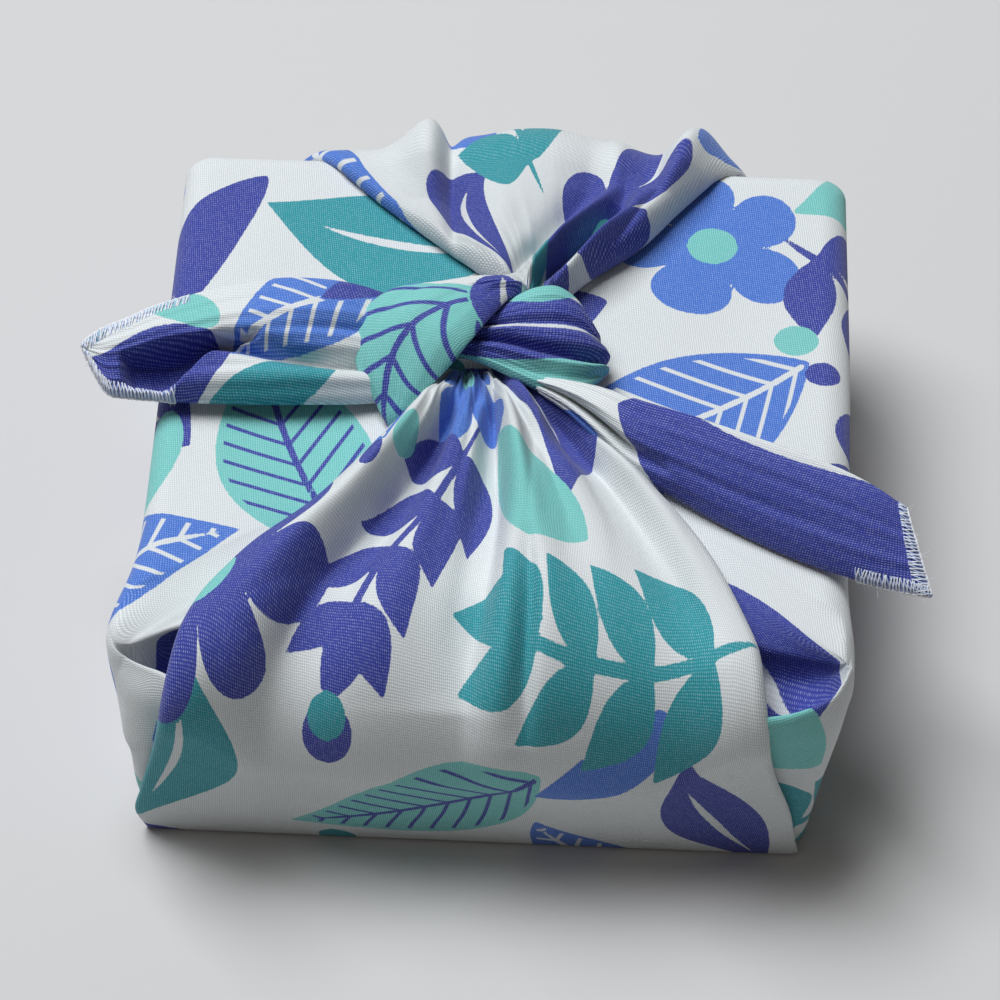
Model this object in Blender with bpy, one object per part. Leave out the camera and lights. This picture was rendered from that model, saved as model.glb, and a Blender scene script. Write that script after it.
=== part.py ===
# Furoshiki wrap: one square of cloth folded round a low square box and tied on top.
# The left and right corners lie flat over the box, the front and back corners are gathered
# over them and knotted, and the two free ends of the knot lie to the left and the right.
# X runs along the free ends, Y runs from front to back, Z is up. The origin is the middle
# of the flat underside. Tables are in millimetres, and the model is built in metres.
import bpy
import bmesh
import numpy as np
from math import cos, pi, radians, sin, sqrt
from mathutils import Matrix

mm = 0.001

# the wrapped box, measured over the cloth
top_half = 80.0          # half the width and half the depth at the top
foot_half = 76.0         # the same at the foot
wrap_height = 62.0
top_round = 4.0          # rounding where the top turns into the sides
foot_round = 2.5         # rounding at the foot
corner_round = 5.0       # upright corners, seen from above
foot_shift = -2.0        # the foot sits this far to the left

# the cloth
fold_height = 1.6        # a panel's folded layers above the cloth under them
panel_bend = 6.0         # rounding of a panel where it turns down over the box
panel_root = 2.6         # how far the panels and strands run into the solid under them
rim_width = 2.2          # rounding along a panel's folded edge
pleat_fade = 12.0        # a pleat dies away over this length past its last station

# mesh density
around_corner = 6        # faces round one upright corner
along_side = 17          # faces along one side of the body
panel_columns = 38
strand_sides = 20

# soft bulges of the tucked corners: centre, spread and push along x, y, z
bulges = [
    {"name": "left gusset", "at": (-78, -64, 46), "spread": (12, 16, 17), "push": (-5.0, -1.5, 0)},
    {"name": "left shoulder", "at": (-78, -60, 58), "spread": (10, 14, 8), "push": (-2.0, 0, 0.8)},
    {"name": "left foot", "at": (-78, -72, 14), "spread": (10, 12, 14), "push": (-2.0, 0, 0)},
    {"name": "right gusset", "at": (80, -62, 50), "spread": (10, 15, 12), "push": (2.6, 0, 0)},
    {"name": "right side", "at": (80, 10, 55), "spread": (8, 55, 12), "push": (1.4, 0, 0)},
    {"name": "right arch", "at": (74, -58, 62), "spread": (12, 7, 7), "push": (0, 0, 1.6)},
]

# hollows left open where the corners are tucked in under the front panel: centre, half sizes
# along x, y, z and turn about z in degrees
pockets = [
    {"name": "left_pocket", "at": (-72, -71.5, 59.5), "radius": (9.5, 3.8, 6.0), "turn": -24},
    {"name": "right_pocket", "at": (69.5, -71.8, 62.5), "radius": (12.5, 5.8, 10.0), "turn": 12},
]

# folded edges of the two gathered panels: distance from the middle of the top, measured
# over the box, and the x of the left and of the right edge there
front_edges = [(2, -13, 10), (8, -18, 17), (20, -29, 31), (33, -42, 43), (45, -56.5, 51.5), (55, -64, 57),
               (66, -68, 60.5), (78, -70.5, 62.5), (100, -74.5, 65.5), (118, -78.5, 70),
               (129, -80.5, 71.5), (138, -78, 73)]
back_edges = [(26, 1, 11), (34, -1, 15), (40, -6.5, 20), (49, -17, 30), (63, -33, 40.5), (72, -42, 47.5),
              (80, -50, 54), (100, -62, 65), (138, -73, 73)]

# pleats: three stations along the panel, and at each the crest's x, height and spread
front_pleats = [
    {"name": "left roll", "reach": (4, 40, 84), "x": (-12, -46, -64), "height": (5, 2.6, 0.8), "spread": (4, 5, 7)},
    {"name": "left furrow", "reach": (6, 54, 92), "x": (-10, -38, -51), "height": (-3.5, -3, -1.5), "spread": (3, 5, 9)},
    {"name": "left ridge", "reach": (4, 45, 75), "x": (-7, -25, -29), "height": (3, 1.5, 0.3), "spread": (3.5, 7, 12)},
    {"name": "wedge ridge", "reach": (4, 30, 76), "x": (-6, -8.5, -11), "height": (3.5, 3, 1.2), "spread": (2.5, 5, 9)},
    {"name": "middle furrow", "reach": (4, 30, 70), "x": (-3.5, 0, -1.5), "height": (-5, -5, -2.5), "spread": (2, 3, 4.5)},
    {"name": "middle ridge", "reach": (4, 40, 80), "x": (-1, 7, 10), "height": (3.5, 2.5, 3), "spread": (2.5, 5.5, 9)},
    {"name": "right furrow", "reach": (6, 27, 60), "x": (2, 11, 17), "height": (-3, -2.5, -0.8), "spread": (2.5, 4, 8)},
    {"name": "right ridge", "reach": (4, 25, 62), "x": (5, 18.5, 38), "height": (3.5, 2.5, 0.5), "spread": (3, 5, 10)},
    {"name": "right furrow by the roll", "reach": (6, 26, 60), "x": (9, 25, 45), "height": (-2.5, -2, -0.5), "spread": (2.5, 4, 8)},
    {"name": "right roll", "reach": (4, 30, 80), "x": (11, 38, 59), "height": (4, 2.6, 0.8), "spread": (3, 4.5, 6)},
]
back_pleats = [
    {"name": "left crease", "reach": (45, 59, 78), "x": (-13, -14.5, -16), "height": (-1.5, -3, -4), "spread": (2, 3, 2.6)},
    {"name": "ear", "reach": (60, 75, 84), "x": (-19, -21, -22), "height": (1, 8, 6), "spread": (6, 7, 8)},
    {"name": "puff", "reach": (50, 72, 84), "x": (2, 6, 8), "height": (2, 6, 8), "spread": (10, 20, 28)},
    {"name": "furrow by the first roll", "reach": (34, 50, 64), "x": (-1, 5, 12), "height": (-2, -2.5, -1), "spread": (2.5, 4, 7)},
    {"name": "first roll", "reach": (33, 48, 66), "x": (2, 12, 23), "height": (4, 4, 2), "spread": (2.4, 3, 4)},
    {"name": "first furrow", "reach": (34, 46, 60), "x": (5.5, 14.5, 24), "height": (-3, -4, -1.5), "spread": (1.8, 2.2, 3)},
    {"name": "second roll", "reach": (31, 42, 56), "x": (9, 17, 25), "height": (4, 4, 2), "spread": (2.4, 3, 4)},
    {"name": "second furrow", "reach": (33, 44, 62), "x": (12, 20, 31), "height": (-3, -3, -2), "spread": (2, 2.6, 4)},
    {"name": "edge roll", "reach": (36, 61, 88), "x": (18, 33, 49), "height": (6, 7, 6), "spread": (4, 6, 7)},
]
front_rise = {"height": 8.0, "from": 2.0, "to": 40.0}    # the panel climbs towards the knot
back_rise = {"height": 9.0, "from": 26.0, "to": 66.0}

# knot strands and free ends: the middle line, the way from it to the strand's edge, and half
# the thickness
over_strand = [
    {"at": (8, 22, 66), "edge": (4, -4, 1), "thick": 4},
    {"at": (1, 24, 74), "edge": (5.5, -6, 1), "thick": 4.5},
    {"at": (-8, 20.5, 79), "edge": (8.5, -6, 1.5), "thick": 4.5},
    {"at": (-17, 12.5, 79.5), "edge": (10.5, -5, 2.5), "thick": 4.5},
    {"at": (-22.5, 4, 76), "edge": (9.8, -4, 2), "thick": 4.5},
    {"at": (-24.5, -3, 70.5), "edge": (6, -2, 1), "thick": 4},
    {"at": (-23, -5.5, 65), "edge": (4.2, -1.5, 0.5), "thick": 3.2},
    {"at": (-20.5, -5, 59), "edge": (3.2, -1, 0), "thick": 2.8},
]
cross_strand = [
    {"at": (-12, 12, 70), "edge": (0, 6, 0), "thick": 5},
    {"at": (-4, 12, 75), "edge": (0, 9, 0), "thick": 5.5},
    {"at": (5, 13.5, 77.5), "edge": (0, 13, 0), "thick": 5.5},
    {"at": (12.5, 14.5, 75.5), "edge": (0, 15.2, 0), "thick": 5.5},
    {"at": (17.5, 12.5, 70), "edge": (0, 14, 0), "thick": 5},
    {"at": (18.5, 10, 64), "edge": (0, 11, 0), "thick": 4.5},
    {"at": (14, 9, 59), "edge": (0, 8, 0), "thick": 4},
]
left_end = [
    {"at": (-6, 15, 69), "edge": (0, 9, 2), "thick": 6},
    {"at": (-20, 14, 71.5), "edge": (0, 12.5, 4), "thick": 6.5},
    {"at": (-34, 13.3, 72), "edge": (0, 13.3, 5), "thick": 6},
    {"at": (-47, 12.3, 71.6), "edge": (-0.5, 13.6, 5), "thick": 5.4},
    {"at": (-60, 10.8, 71), "edge": (0, 13.4, 5), "thick": 5},
    {"at": (-73, 8.3, 70.6), "edge": (-0.2, 11.9, 4.5), "thick": 4.6},
    {"at": (-82, 7, 70.4), "edge": (-0.7, 10.3, 4), "thick": 4},
    {"at": (-88, 6, 70.3), "edge": (-0.9, 8.6, 3.2), "thick": 3.4},
    {"at": (-93, 6, 70.2), "edge": (-1.2, 5.8, 2.2), "thick": 2.6},
    {"at": (-97, 7.5, 70), "edge": (-0.8, 2.2, 1), "thick": 1.3},
]
right_end = [
    {"at": (12, 3, 66), "edge": (1.2, 4.6, 2.4), "thick": 4.6},
    {"at": (22, -4.2, 69), "edge": (0.9, 5.6, 3), "thick": 4.6},
    {"at": (33, -9.6, 69.8), "edge": (0.2, 7.6, 3.8), "thick": 4.4},
    {"at": (46, -15.6, 70.4), "edge": (-0.4, 9.8, 4.6), "thick": 4.2},
    {"at": (58, -21.5, 70.8), "edge": (-0.9, 11, 5), "thick": 4},
    {"at": (70, -27.6, 71), "edge": (-0.9, 12.1, 5.2), "thick": 3.6},
    {"at": (81, -34, 71.2), "edge": (-0.9, 12.4, 5), "thick": 3},
    {"at": (89, -38.8, 71.4), "edge": (-1.6, 11.4, 4.5), "thick": 2.4},
    {"at": (96, -42.6, 71.5), "edge": (-3.6, 9.4, 3.6), "thick": 1.2},
]
knot_core = {"at": (-1, 13, 66), "radius": (19, 19, 12)}

cloth_finish = {"color": (0.72, 0.75, 0.74, 1.0), "roughness": 0.8, "metallic": 0.0}


def clear_scene():
    for old in list(bpy.data.objects):
        bpy.data.objects.remove(old, do_unlink=True)


def smooth_step(value, low, high):
    t = np.clip((value - low) / (high - low), 0.0, 1.0)
    return t * t * (3.0 - 2.0 * t)


# the columns of a table at one distance, on a smooth curve through its rows
def read_table(rows, at):
    table = np.array(rows, float)
    keys, values = table[:, 0], table[:, 1:]
    slopes = np.gradient(values, keys, axis=0)
    row = int(np.clip(np.searchsorted(keys, at) - 1, 0, len(keys) - 2))
    span = keys[row + 1] - keys[row]
    t = np.clip((at - keys[row]) / span, 0.0, 1.0)
    start = (2 * t ** 3 - 3 * t ** 2 + 1) * values[row] + (t ** 3 - 2 * t ** 2 + t) * span * slopes[row]
    end = (3 * t ** 2 - 2 * t ** 3) * values[row + 1] + (t ** 3 - t ** 2) * span * slopes[row + 1]
    return start + end


# a grid of faces laid out by a function of two shares from 0 to 1, as points in millimetres;
# a tube welds its first and last columns and has its ends closed
def lay_grid(name, columns, rows, place, tube=False):
    shape = bmesh.new()
    bmesh.ops.create_grid(shape, x_segments=columns, y_segments=rows, size=1.0)
    for vertex in shape.verts:
        across = (vertex.co.x + 1.0) / 2.0
        along = (vertex.co.y + 1.0) / 2.0
        vertex.co = [float(value) * mm for value in place(across, along)]
    if tube:
        bmesh.ops.remove_doubles(shape, verts=shape.verts, dist=0.00002)
        bmesh.ops.holes_fill(shape, edges=shape.edges, sides=0)
    bmesh.ops.recalc_face_normals(shape, faces=shape.faces)
    mesh = bpy.data.meshes.new(name)
    shape.to_mesh(mesh)
    shape.free()
    return bpy.data.objects.new(name, mesh)


# ---- the wrapped box

def half_size(height):
    share = height / wrap_height
    half = foot_half + (top_half - foot_half) * share
    under_top = height - (wrap_height - top_round)
    if under_top > 0:
        half -= top_round - sqrt(max(top_round ** 2 - under_top ** 2, 0.0))
    over_foot = foot_round - height
    if over_foot > 0:
        half -= foot_round - sqrt(max(foot_round ** 2 - over_foot ** 2, 0.0))
    return half


# a rounded square, walked from the middle of its front; the share picks the same place at any size
def square_point(share, half, rounding):
    steps = 4 * (around_corner + along_side)
    step = (round(share * steps) + along_side // 2) % steps
    side, place = divmod(step, around_corner + along_side)
    straight = half - rounding
    if place <= along_side:
        x, y = straight * (2.0 * place / along_side - 1.0), -half
    else:
        turn = (place - along_side) / around_corner * pi / 2
        x, y = straight + rounding * sin(turn), -straight - rounding * cos(turn)
    quarter = side * pi / 2
    return x * cos(quarter) - y * sin(quarter), x * sin(quarter) + y * cos(quarter)


def bulged(point):
    point = np.array(point, float)
    moved = point.copy()
    for bulge in bulges:
        away = (point - bulge["at"]) / bulge["spread"]
        moved += np.array(bulge["push"]) * np.exp(-away @ away)
    return moved


# heights of the body's rings: closer together at the roundings and the tucked corners
def ring_heights():
    foot = [foot_round * (1.0 - cos(radians(a))) for a in (0, 45, 90)]
    side = list(np.linspace(9.0, 40.0, 5))
    tucked = list(np.linspace(42.5, wrap_height - top_round, 7))
    top = [wrap_height - top_round * (1.0 - sin(radians(a))) for a in (25, 50, 70, 90)]
    return foot + side + tucked + top


def build_body():
    heights = ring_heights()
    shrink = [0.84, 0.62, 0.35, 0.0]        # rings on the flat top, drawn in to its middle
    rings = len(heights) + len(shrink)
    columns = 4 * (around_corner + along_side)

    def place(across, along):
        ring = round(along * (rings - 1))
        height = heights[min(ring, len(heights) - 1)]
        half = half_size(height)
        rounding = min(corner_round, half)
        x, y = square_point(across, half, rounding)
        if ring >= len(heights):
            inner = shrink[ring - len(heights)]
            return x * inner, y * inner, wrap_height
        lean = foot_shift * (1.0 - height / wrap_height)
        if height == 0.0:
            return x + lean, y, 0.0
        x, y, z = bulged((x + lean, y, height))
        return x, y, max(z, 0.0)

    return lay_grid("body", columns, rings - 1, place, tube=True)


# ---- the gathered panels

# a point on the way over the top and down the front (side -1) or the back (side 1)
def over_box(side, distance, lift):
    flat = top_half - panel_bend
    turn_length = panel_bend * pi / 2
    if distance <= flat:
        return side * distance, wrap_height + lift
    if distance <= flat + turn_length:
        turn = (distance - flat) / panel_bend
        radius = panel_bend + lift
        return side * (flat + radius * sin(turn)), wrap_height - panel_bend + radius * cos(turn)
    down = distance - flat - turn_length
    height = wrap_height - panel_bend - down
    lean = (top_half - foot_half) * down / (wrap_height - panel_bend)
    return side * (top_half - lean + lift), height


def pleat_lift(pleats, x, distance):
    lift = 0.0
    for pleat in pleats:
        reach = pleat["reach"]
        if distance > reach[2] + pleat_fade:
            continue
        held = min(max(distance, reach[0]), reach[2])
        rows = list(zip(reach, pleat["x"], pleat["height"], pleat["spread"]))
        crest, height, spread = read_table(rows, held)
        lift += (height * (1.0 - smooth_step(distance, reach[2], reach[2] + pleat_fade))
                 * np.exp(-((x - crest) / spread) ** 2))
    return lift


# a panel's point at a share of its width, on the outer face or on the inner one inside the body
def panel_point(side, edges, pleats, rise, share, outer, distance):
    left, right = read_table(edges, distance)
    share -= 0.55 * sin(2.0 * pi * share) / (2.0 * pi)      # more columns near the folded edges
    x = left + (right - left) * share
    foot_fade = smooth_step(distance, 112.0, 138.0)
    if outer:
        to_edge = min(x - left, right - x)
        rim = sqrt(1.0 - (1.0 - float(np.clip(to_edge / rim_width, 0.0, 1.0))) ** 2)
        climb = rise["height"] * (1.0 - smooth_step(distance, rise["from"], rise["to"]))
        lift = fold_height * (0.45 + 0.55 * rim) * (1.0 - 0.6 * foot_fade)
        lift += (0.35 + 0.65 * rim) * max(climb + pleat_lift(pleats, x, distance), -fold_height * 0.6)
    else:
        lift = -panel_root
    y, z = over_box(side, distance, lift)
    return x, y, z


def build_panel(name, side, edges, pleats, rise):
    first, last = edges[0][0], edges[-1][0]
    over_top = np.linspace(first, 74.0, 17 if side < 0 else 13)
    stations = list(over_top) + [77.0, 80.5, 84.0, 88.0, 95.0, 104.0, 115.0, 127.0, last - 0.6]

    around = 2 * panel_columns + 2

    def place(across, along):
        distance = stations[round(along * (len(stations) - 1))]
        step = round(across * around) % around
        outer = step <= panel_columns
        share = (step if outer else around - 1 - step) / panel_columns
        return panel_point(side, edges, pleats, rise, share, outer, distance)

    return lay_grid(name, around, len(stations) - 1, place, tube=True)


# ---- the knot and its free ends

# a tube of rounded flat section along a table's middle line; clefts are dents round the section
def build_strand(name, rows, rings, clefts=(), ripple=0.0, ripples=5):
    keys = [0.0]
    for before, row in zip(rows, rows[1:]):
        keys.append(keys[-1] + float(np.linalg.norm(np.subtract(row["at"], before["at"]))))
    table = [(key, *row["at"], *row["edge"], row["thick"]) for key, row in zip(keys, rows)]

    def place(across, along):
        distance = along * keys[-1]
        values = read_table(table, distance)
        middle, edge, thick = values[:3], values[3:6], values[6]
        ahead = read_table(table, min(distance + 0.5, keys[-1]))[:3]
        behind = read_table(table, max(distance - 0.5, 0.0))[:3]
        high = np.cross(edge, ahead - behind)
        high *= thick / np.linalg.norm(high)
        angle = 2.0 * pi * across
        swell = 1.0 + ripple * cos(ripples * angle)
        for cleft in clefts:
            away = (cos(angle) - cleft["place"]) / cleft["width"]
            if sin(angle) * cleft["face"] > 0:
                swell -= cleft["depth"] * np.exp(-away * away)
        return middle + edge * cos(angle) + high * sin(angle) * swell

    return lay_grid(name, strand_sides, rings, place, tube=True)


# a stretched ball, turned about the upright through its centre
def build_ball(name, at, radius, turn=0.0):
    shape = bmesh.new()
    bmesh.ops.create_uvsphere(shape, u_segments=16, v_segments=8, radius=1.0)
    bmesh.ops.scale(shape, verts=shape.verts, vec=[size * mm for size in radius])
    bmesh.ops.rotate(shape, verts=shape.verts, matrix=Matrix.Rotation(radians(turn), 3, "Z"))
    bmesh.ops.translate(shape, verts=shape.verts, vec=[place * mm for place in at])
    mesh = bpy.data.meshes.new(name)
    shape.to_mesh(mesh)
    shape.free()
    return bpy.data.objects.new(name, mesh)


# ---- one solid of all the folds

def cloth_material():
    material = bpy.data.materials.new("cloth")
    material.use_nodes = True
    shader = material.node_tree.nodes["Principled BSDF"]
    shader.inputs["Base Color"].default_value = cloth_finish["color"]
    shader.inputs["Roughness"].default_value = cloth_finish["roughness"]
    shader.inputs["Metallic"].default_value = cloth_finish["metallic"]
    return material


def new_collection(name):
    collection = bpy.data.collections.new(name)
    bpy.context.scene.collection.children.link(collection)
    return collection


def combine(body, operation, shapes):
    step = body.modifiers.new(operation.lower(), "BOOLEAN")
    step.operation = operation
    step.solver = "EXACT"
    step.operand_type = "COLLECTION"
    step.collection = shapes
    for shape in shapes.objects:
        shape.hide_render = True
        shape.display_type = "WIRE"


def main():
    clear_scene()
    parts = new_collection("furoshiki_wrap")
    hollows = new_collection("pocket_hollows")
    folds = new_collection("fold_shapes")
    body = build_body()
    body.name = "furoshiki_cloth"
    body.data.materials.append(cloth_material())
    parts.objects.link(body)
    for pocket in pockets:
        hollows.objects.link(build_ball(pocket["name"], pocket["at"], pocket["radius"], pocket["turn"]))
    for fold in (
        build_panel("front_panel", -1, front_edges, front_pleats, front_rise),
        build_panel("back_panel", 1, back_edges, back_pleats, back_rise),
        build_ball("knot_core", knot_core["at"], knot_core["radius"]),
        build_strand("over_strand", over_strand, 16),
        build_strand("cross_strand", cross_strand, 14, ripple=0.10, ripples=7),
        build_strand("left_end", left_end, 18,
                     clefts=[{"place": -0.35, "width": 0.2, "depth": 0.6, "face": 1}]),
        build_strand("right_end", right_end, 16),
    ):
        folds.objects.link(fold)
    combine(body, "DIFFERENCE", hollows)
    combine(body, "UNION", folds)
    body.data.shade_smooth()


main()
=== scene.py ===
from math import cos, pi, radians, sin

import bmesh
import bpy
import numpy as np
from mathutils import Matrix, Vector


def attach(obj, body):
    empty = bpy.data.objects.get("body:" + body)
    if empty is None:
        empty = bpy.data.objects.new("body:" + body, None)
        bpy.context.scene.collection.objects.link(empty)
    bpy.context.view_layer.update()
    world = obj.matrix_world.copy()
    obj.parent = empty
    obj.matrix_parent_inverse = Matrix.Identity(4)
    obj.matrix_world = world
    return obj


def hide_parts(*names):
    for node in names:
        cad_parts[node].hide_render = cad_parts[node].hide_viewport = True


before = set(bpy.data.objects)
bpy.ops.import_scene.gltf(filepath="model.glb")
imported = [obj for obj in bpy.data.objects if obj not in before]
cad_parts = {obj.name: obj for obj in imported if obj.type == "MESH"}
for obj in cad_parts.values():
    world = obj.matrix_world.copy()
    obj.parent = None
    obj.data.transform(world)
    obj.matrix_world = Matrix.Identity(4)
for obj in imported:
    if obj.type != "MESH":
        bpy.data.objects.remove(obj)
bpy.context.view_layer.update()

# A square of printed twill wrapped round a low box, knotted on top. The shapes are worked
# out in millimetres. Every piece also carries its place on the flat cloth, which the weave
# and the print follow.
mm = 0.001
noInk, noHem = -9.0, 9.0                      # distances well away from any outline or hem
weldWithin = 0.00001                          # metres

wrap = {
    "topHalf": 80.0, "footHalf": 76.0, "height": 62.0, "footShift": -2.0,
    "topRound": 6.5, "footRound": 2.5, "cornerRound": 5.5,
    "foldHeight": 1.7, "sink": 2.6, "brinkSink": 6.0, "layerGap": 0.25,
    "pleatFade": 22.0, "softStop": 2.0, "footGap": 0.4,
}
cloth = {"floatStep": 0.235, "threadStep": 0.46, "grain": -14.0}


def smoothStep(value, low, high):
    t = np.clip((value - low) / (high - low), 0.0, 1.0)
    return t * t * (3.0 - 2.0 * t)


# columns of a table at many places, on smooth curves through its rows
def readTable(rows, at):
    table = np.array(rows, float)
    keys, values = table[:, 0], table[:, 1:]
    slopes = np.gradient(values, keys, axis=0)
    at = np.clip(np.atleast_1d(np.asarray(at, float)), keys[0], keys[-1])
    row = np.clip(np.searchsorted(keys, at) - 1, 0, len(keys) - 2)
    span = (keys[row + 1] - keys[row])[:, None]
    t = (at - keys[row])[:, None] / span
    start = (2 * t ** 3 - 3 * t ** 2 + 1) * values[row] + (t ** 3 - 2 * t ** 2 + t) * span * slopes[row]
    end = (3 * t ** 2 - 2 * t ** 3) * values[row + 1] + (t ** 3 - t ** 2) * span * slopes[row + 1]
    return start + end


# evenly spaced places along stretches, each with its own step
def steps(*stretches):
    places = [stretches[0][0]]
    for low, high, step in stretches:
        count = max(1, round(abs(high - low) / step))
        places += list(np.linspace(low, high, count + 1)[1:])
    return np.array(places)


def meshOf(name, shape):
    mesh = bpy.data.meshes.new(name)
    shape.to_mesh(mesh)
    shape.free()
    return mesh


def putObject(name, data):
    thing = bpy.data.objects.new(name, data)
    bpy.context.scene.collection.objects.link(thing)
    return thing


# a sheet laid out by an array of points (rows, columns, 3), with its print and cloth places
def makeSheet(name, points, place, laid, flip=False, weld=False, band=None):
    rows, columns = points.shape[:2]
    grid = bmesh.new()
    bmesh.ops.create_grid(grid, x_segments=columns - 1, y_segments=rows - 1, size=1.0)
    if flip:
        bmesh.ops.reverse_faces(grid, faces=grid.faces)
    mesh = meshOf(name, grid)
    count = len(mesh.vertices)
    spots = np.zeros(count * 3)
    mesh.vertices.foreach_get("co", spots)
    spots = spots.reshape(-1, 3)
    column = np.rint((spots[:, 0] + 1) / 2 * (columns - 1)).astype(int)
    row = np.rint((spots[:, 1] + 1) / 2 * (rows - 1)).astype(int)
    mesh.vertices.foreach_set("co", (points[row, column] * mm).ravel())
    u, v = place[row, column, 0], place[row, column, 1]
    ink = inkPlaces(u, v, laid)
    hem = np.full(count, noHem) if band is None else band[row, column]
    for label, values in (
        ("clothPlace", (u, v, hem)),
        ("inkOne", (ink["indigo"], ink["royal"], ink["mint"])),
        ("inkTwo", (ink["teal"], ink["rib"], ink["veined"])),
        ("inkVeins", (ink["vein"],) * 3),
    ):
        layer = mesh.attributes.new(label, "FLOAT_VECTOR", "POINT")
        layer.data.foreach_set("vector", np.stack(values, -1).astype(np.float32).ravel())
    if weld:
        closing = bmesh.new()
        closing.from_mesh(mesh)
        bmesh.ops.remove_doubles(closing, verts=closing.verts, dist=weldWithin)
        closing.to_mesh(mesh)
        closing.free()
    mesh.update()
    mesh.shade_smooth()
    return putObject(name, mesh)


def motif(kind, ink, at, size, turn, **more):
    return {"kind": kind, "ink": ink, "at": at, "size": size, "turn": turn, **more}


# the print: one botanical repeat in half-drop rows; each motif is a distance inside its outline
repeat = {
    "size": 176, "drop": 0.5, "copies": 3, "reach": 0.6,
    "motifs": [
        motif("flower", "indigo", (34, 40), (62, 62), 12, petals=7),
        motif("berry", "mint", (34, 40), (15, 14), 20),
        motif("leaf", "royal", (101, 26), (80, 38), 26, bend=0.07, veins=7),
        motif("leaf", "mint", (150, 70), (70, 36), 112, bend=0.06, veins=6.5),
        motif("leaf", "indigo", (84, 92), (92, 43), 148, bend=-0.07, rib=1.5),
        motif("sprig", "teal", (14, 104), (74, 50), 78, bend=0.08, pairs=4),
        motif("petal", "indigo", (122, 128), (52, 28), 62, bend=0.06),
        motif("leaf", "teal", (164, 136), (60, 31), 168, bend=0.08, rib=1.2),
        motif("flower", "royal", (88, 150), (46, 46), 0, petals=5),
        motif("berry", "mint", (88, 150), (12, 11), 0),
        motif("sprig", "indigo", (42, 162), (68, 46), 152, bend=-0.06, pairs=4),
        motif("leaf", "mint", (52, 124), (46, 21), 40, bend=0.1),
        motif("petal", "royal", (164, 22), (42, 22), 118, bend=0.05),
        motif("leaf", "indigo", (138, 172), (52, 23), 8, bend=0.1, rib=1.1),
        motif("petal", "mint", (112, 62), (34, 18), 250, bend=0.05),
        motif("berry", "royal", (72, 54), (13, 11), 30),
        motif("berry", "indigo", (176, 92), (15, 13), 0),
        motif("berry", "teal", (126, 94), (9, 9), 0),
        motif("berry", "teal", (4, 4), (11, 10), 0),
        motif("berry", "mint", (68, 2), (10, 9), 0),
        motif("berry", "indigo", (62, 12), (8, 7), 0),
    ],
}


leafy = {
    "soft": 0.85, "ends": 0.0005, "leaf": (0.82, 1.05), "petal": (1.52, 0.72),
    "ribMiddle": 0.42, "ribHalf": 0.34, "stem": 0.85, "stemEnd": 0.80,
    "stemThin": 0.05, "veinSlant": 0.85,
}


# distance inside the outline, distance inside the bare rib, and a count that goes up by 1 a vein
def leafInside(u, v, shape):
    turn = radians(shape["turn"])
    du, dv = u - shape["at"][0], v - shape["at"][1]
    length, half = shape["size"][0], shape["size"][1] / 2
    t = (du * cos(turn) + dv * sin(turn)) / length + 0.5
    inner = np.clip(t, leafy["ends"], 1 - leafy["ends"])
    arch = shape.get("bend", 0.0) * length * 4 * inner * (1 - inner)
    aside = -du * sin(turn) + dv * cos(turn) - arch
    if shape["kind"] == "leaf":
        width = half * np.sin(pi * inner ** leafy["leaf"][0]) ** leafy["leaf"][1]
    elif shape["kind"] == "petal":
        width = half * leafy["petal"][0] * np.sqrt(inner) * (1 - inner) ** leafy["petal"][1]
    else:
        width = half * np.sqrt(1 - (2 * inner - 1) ** 2)
    past = np.maximum(np.maximum(-t, t - 1), 0.0) * length
    inside = np.where(past > 0, -np.hypot(past, aside), (width - np.abs(aside)) * leafy["soft"])
    rib = np.full_like(inside, noInk)
    if shape.get("rib"):
        rib = shape["rib"] * (1 - ((t - leafy["ribMiddle"]) / leafy["ribHalf"]) ** 2) - np.abs(aside)
    if shape.get("veins"):
        rib = leafy["stem"] * (1 - smoothStep(t, leafy["stemEnd"], 1.0)) - leafy["stemThin"] - np.abs(aside)
    vein = (t * length - leafy["veinSlant"] * np.abs(aside)) / shape.get("veins", 1.0)
    return inside, rib, vein


bloom = {"twist": 0.25, "core": 0.40, "power": 0.42, "uneven": 0.06, "soft": 0.7}


def flowerInside(u, v, shape):
    du, dv = u - shape["at"][0], v - shape["at"][1]
    away, angle = np.hypot(du, dv), np.arctan2(dv, du) - radians(shape["turn"])
    wave = np.abs(np.cos(shape["petals"] * angle / 2 + bloom["twist"] * np.sin(angle * 2)))
    reach = shape["size"][0] / 2 * (bloom["core"] + (1 - bloom["core"]) * wave ** bloom["power"])
    reach = reach * (1 + bloom["uneven"] * np.sin(3 * angle + 1))
    return (reach - away) * bloom["soft"], np.full_like(u, noInk), np.zeros_like(u)


sprig = {
    "stem": 3.0, "first": 0.16, "span": 0.62, "tip": 0.93, "tipSize": (0.5, 0.26),
    "leaf": 0.62, "leafLess": 0.20, "otherHand": 0.92, "narrow": 0.50, "spread": 56, "spreadLess": 16,
}


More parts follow.
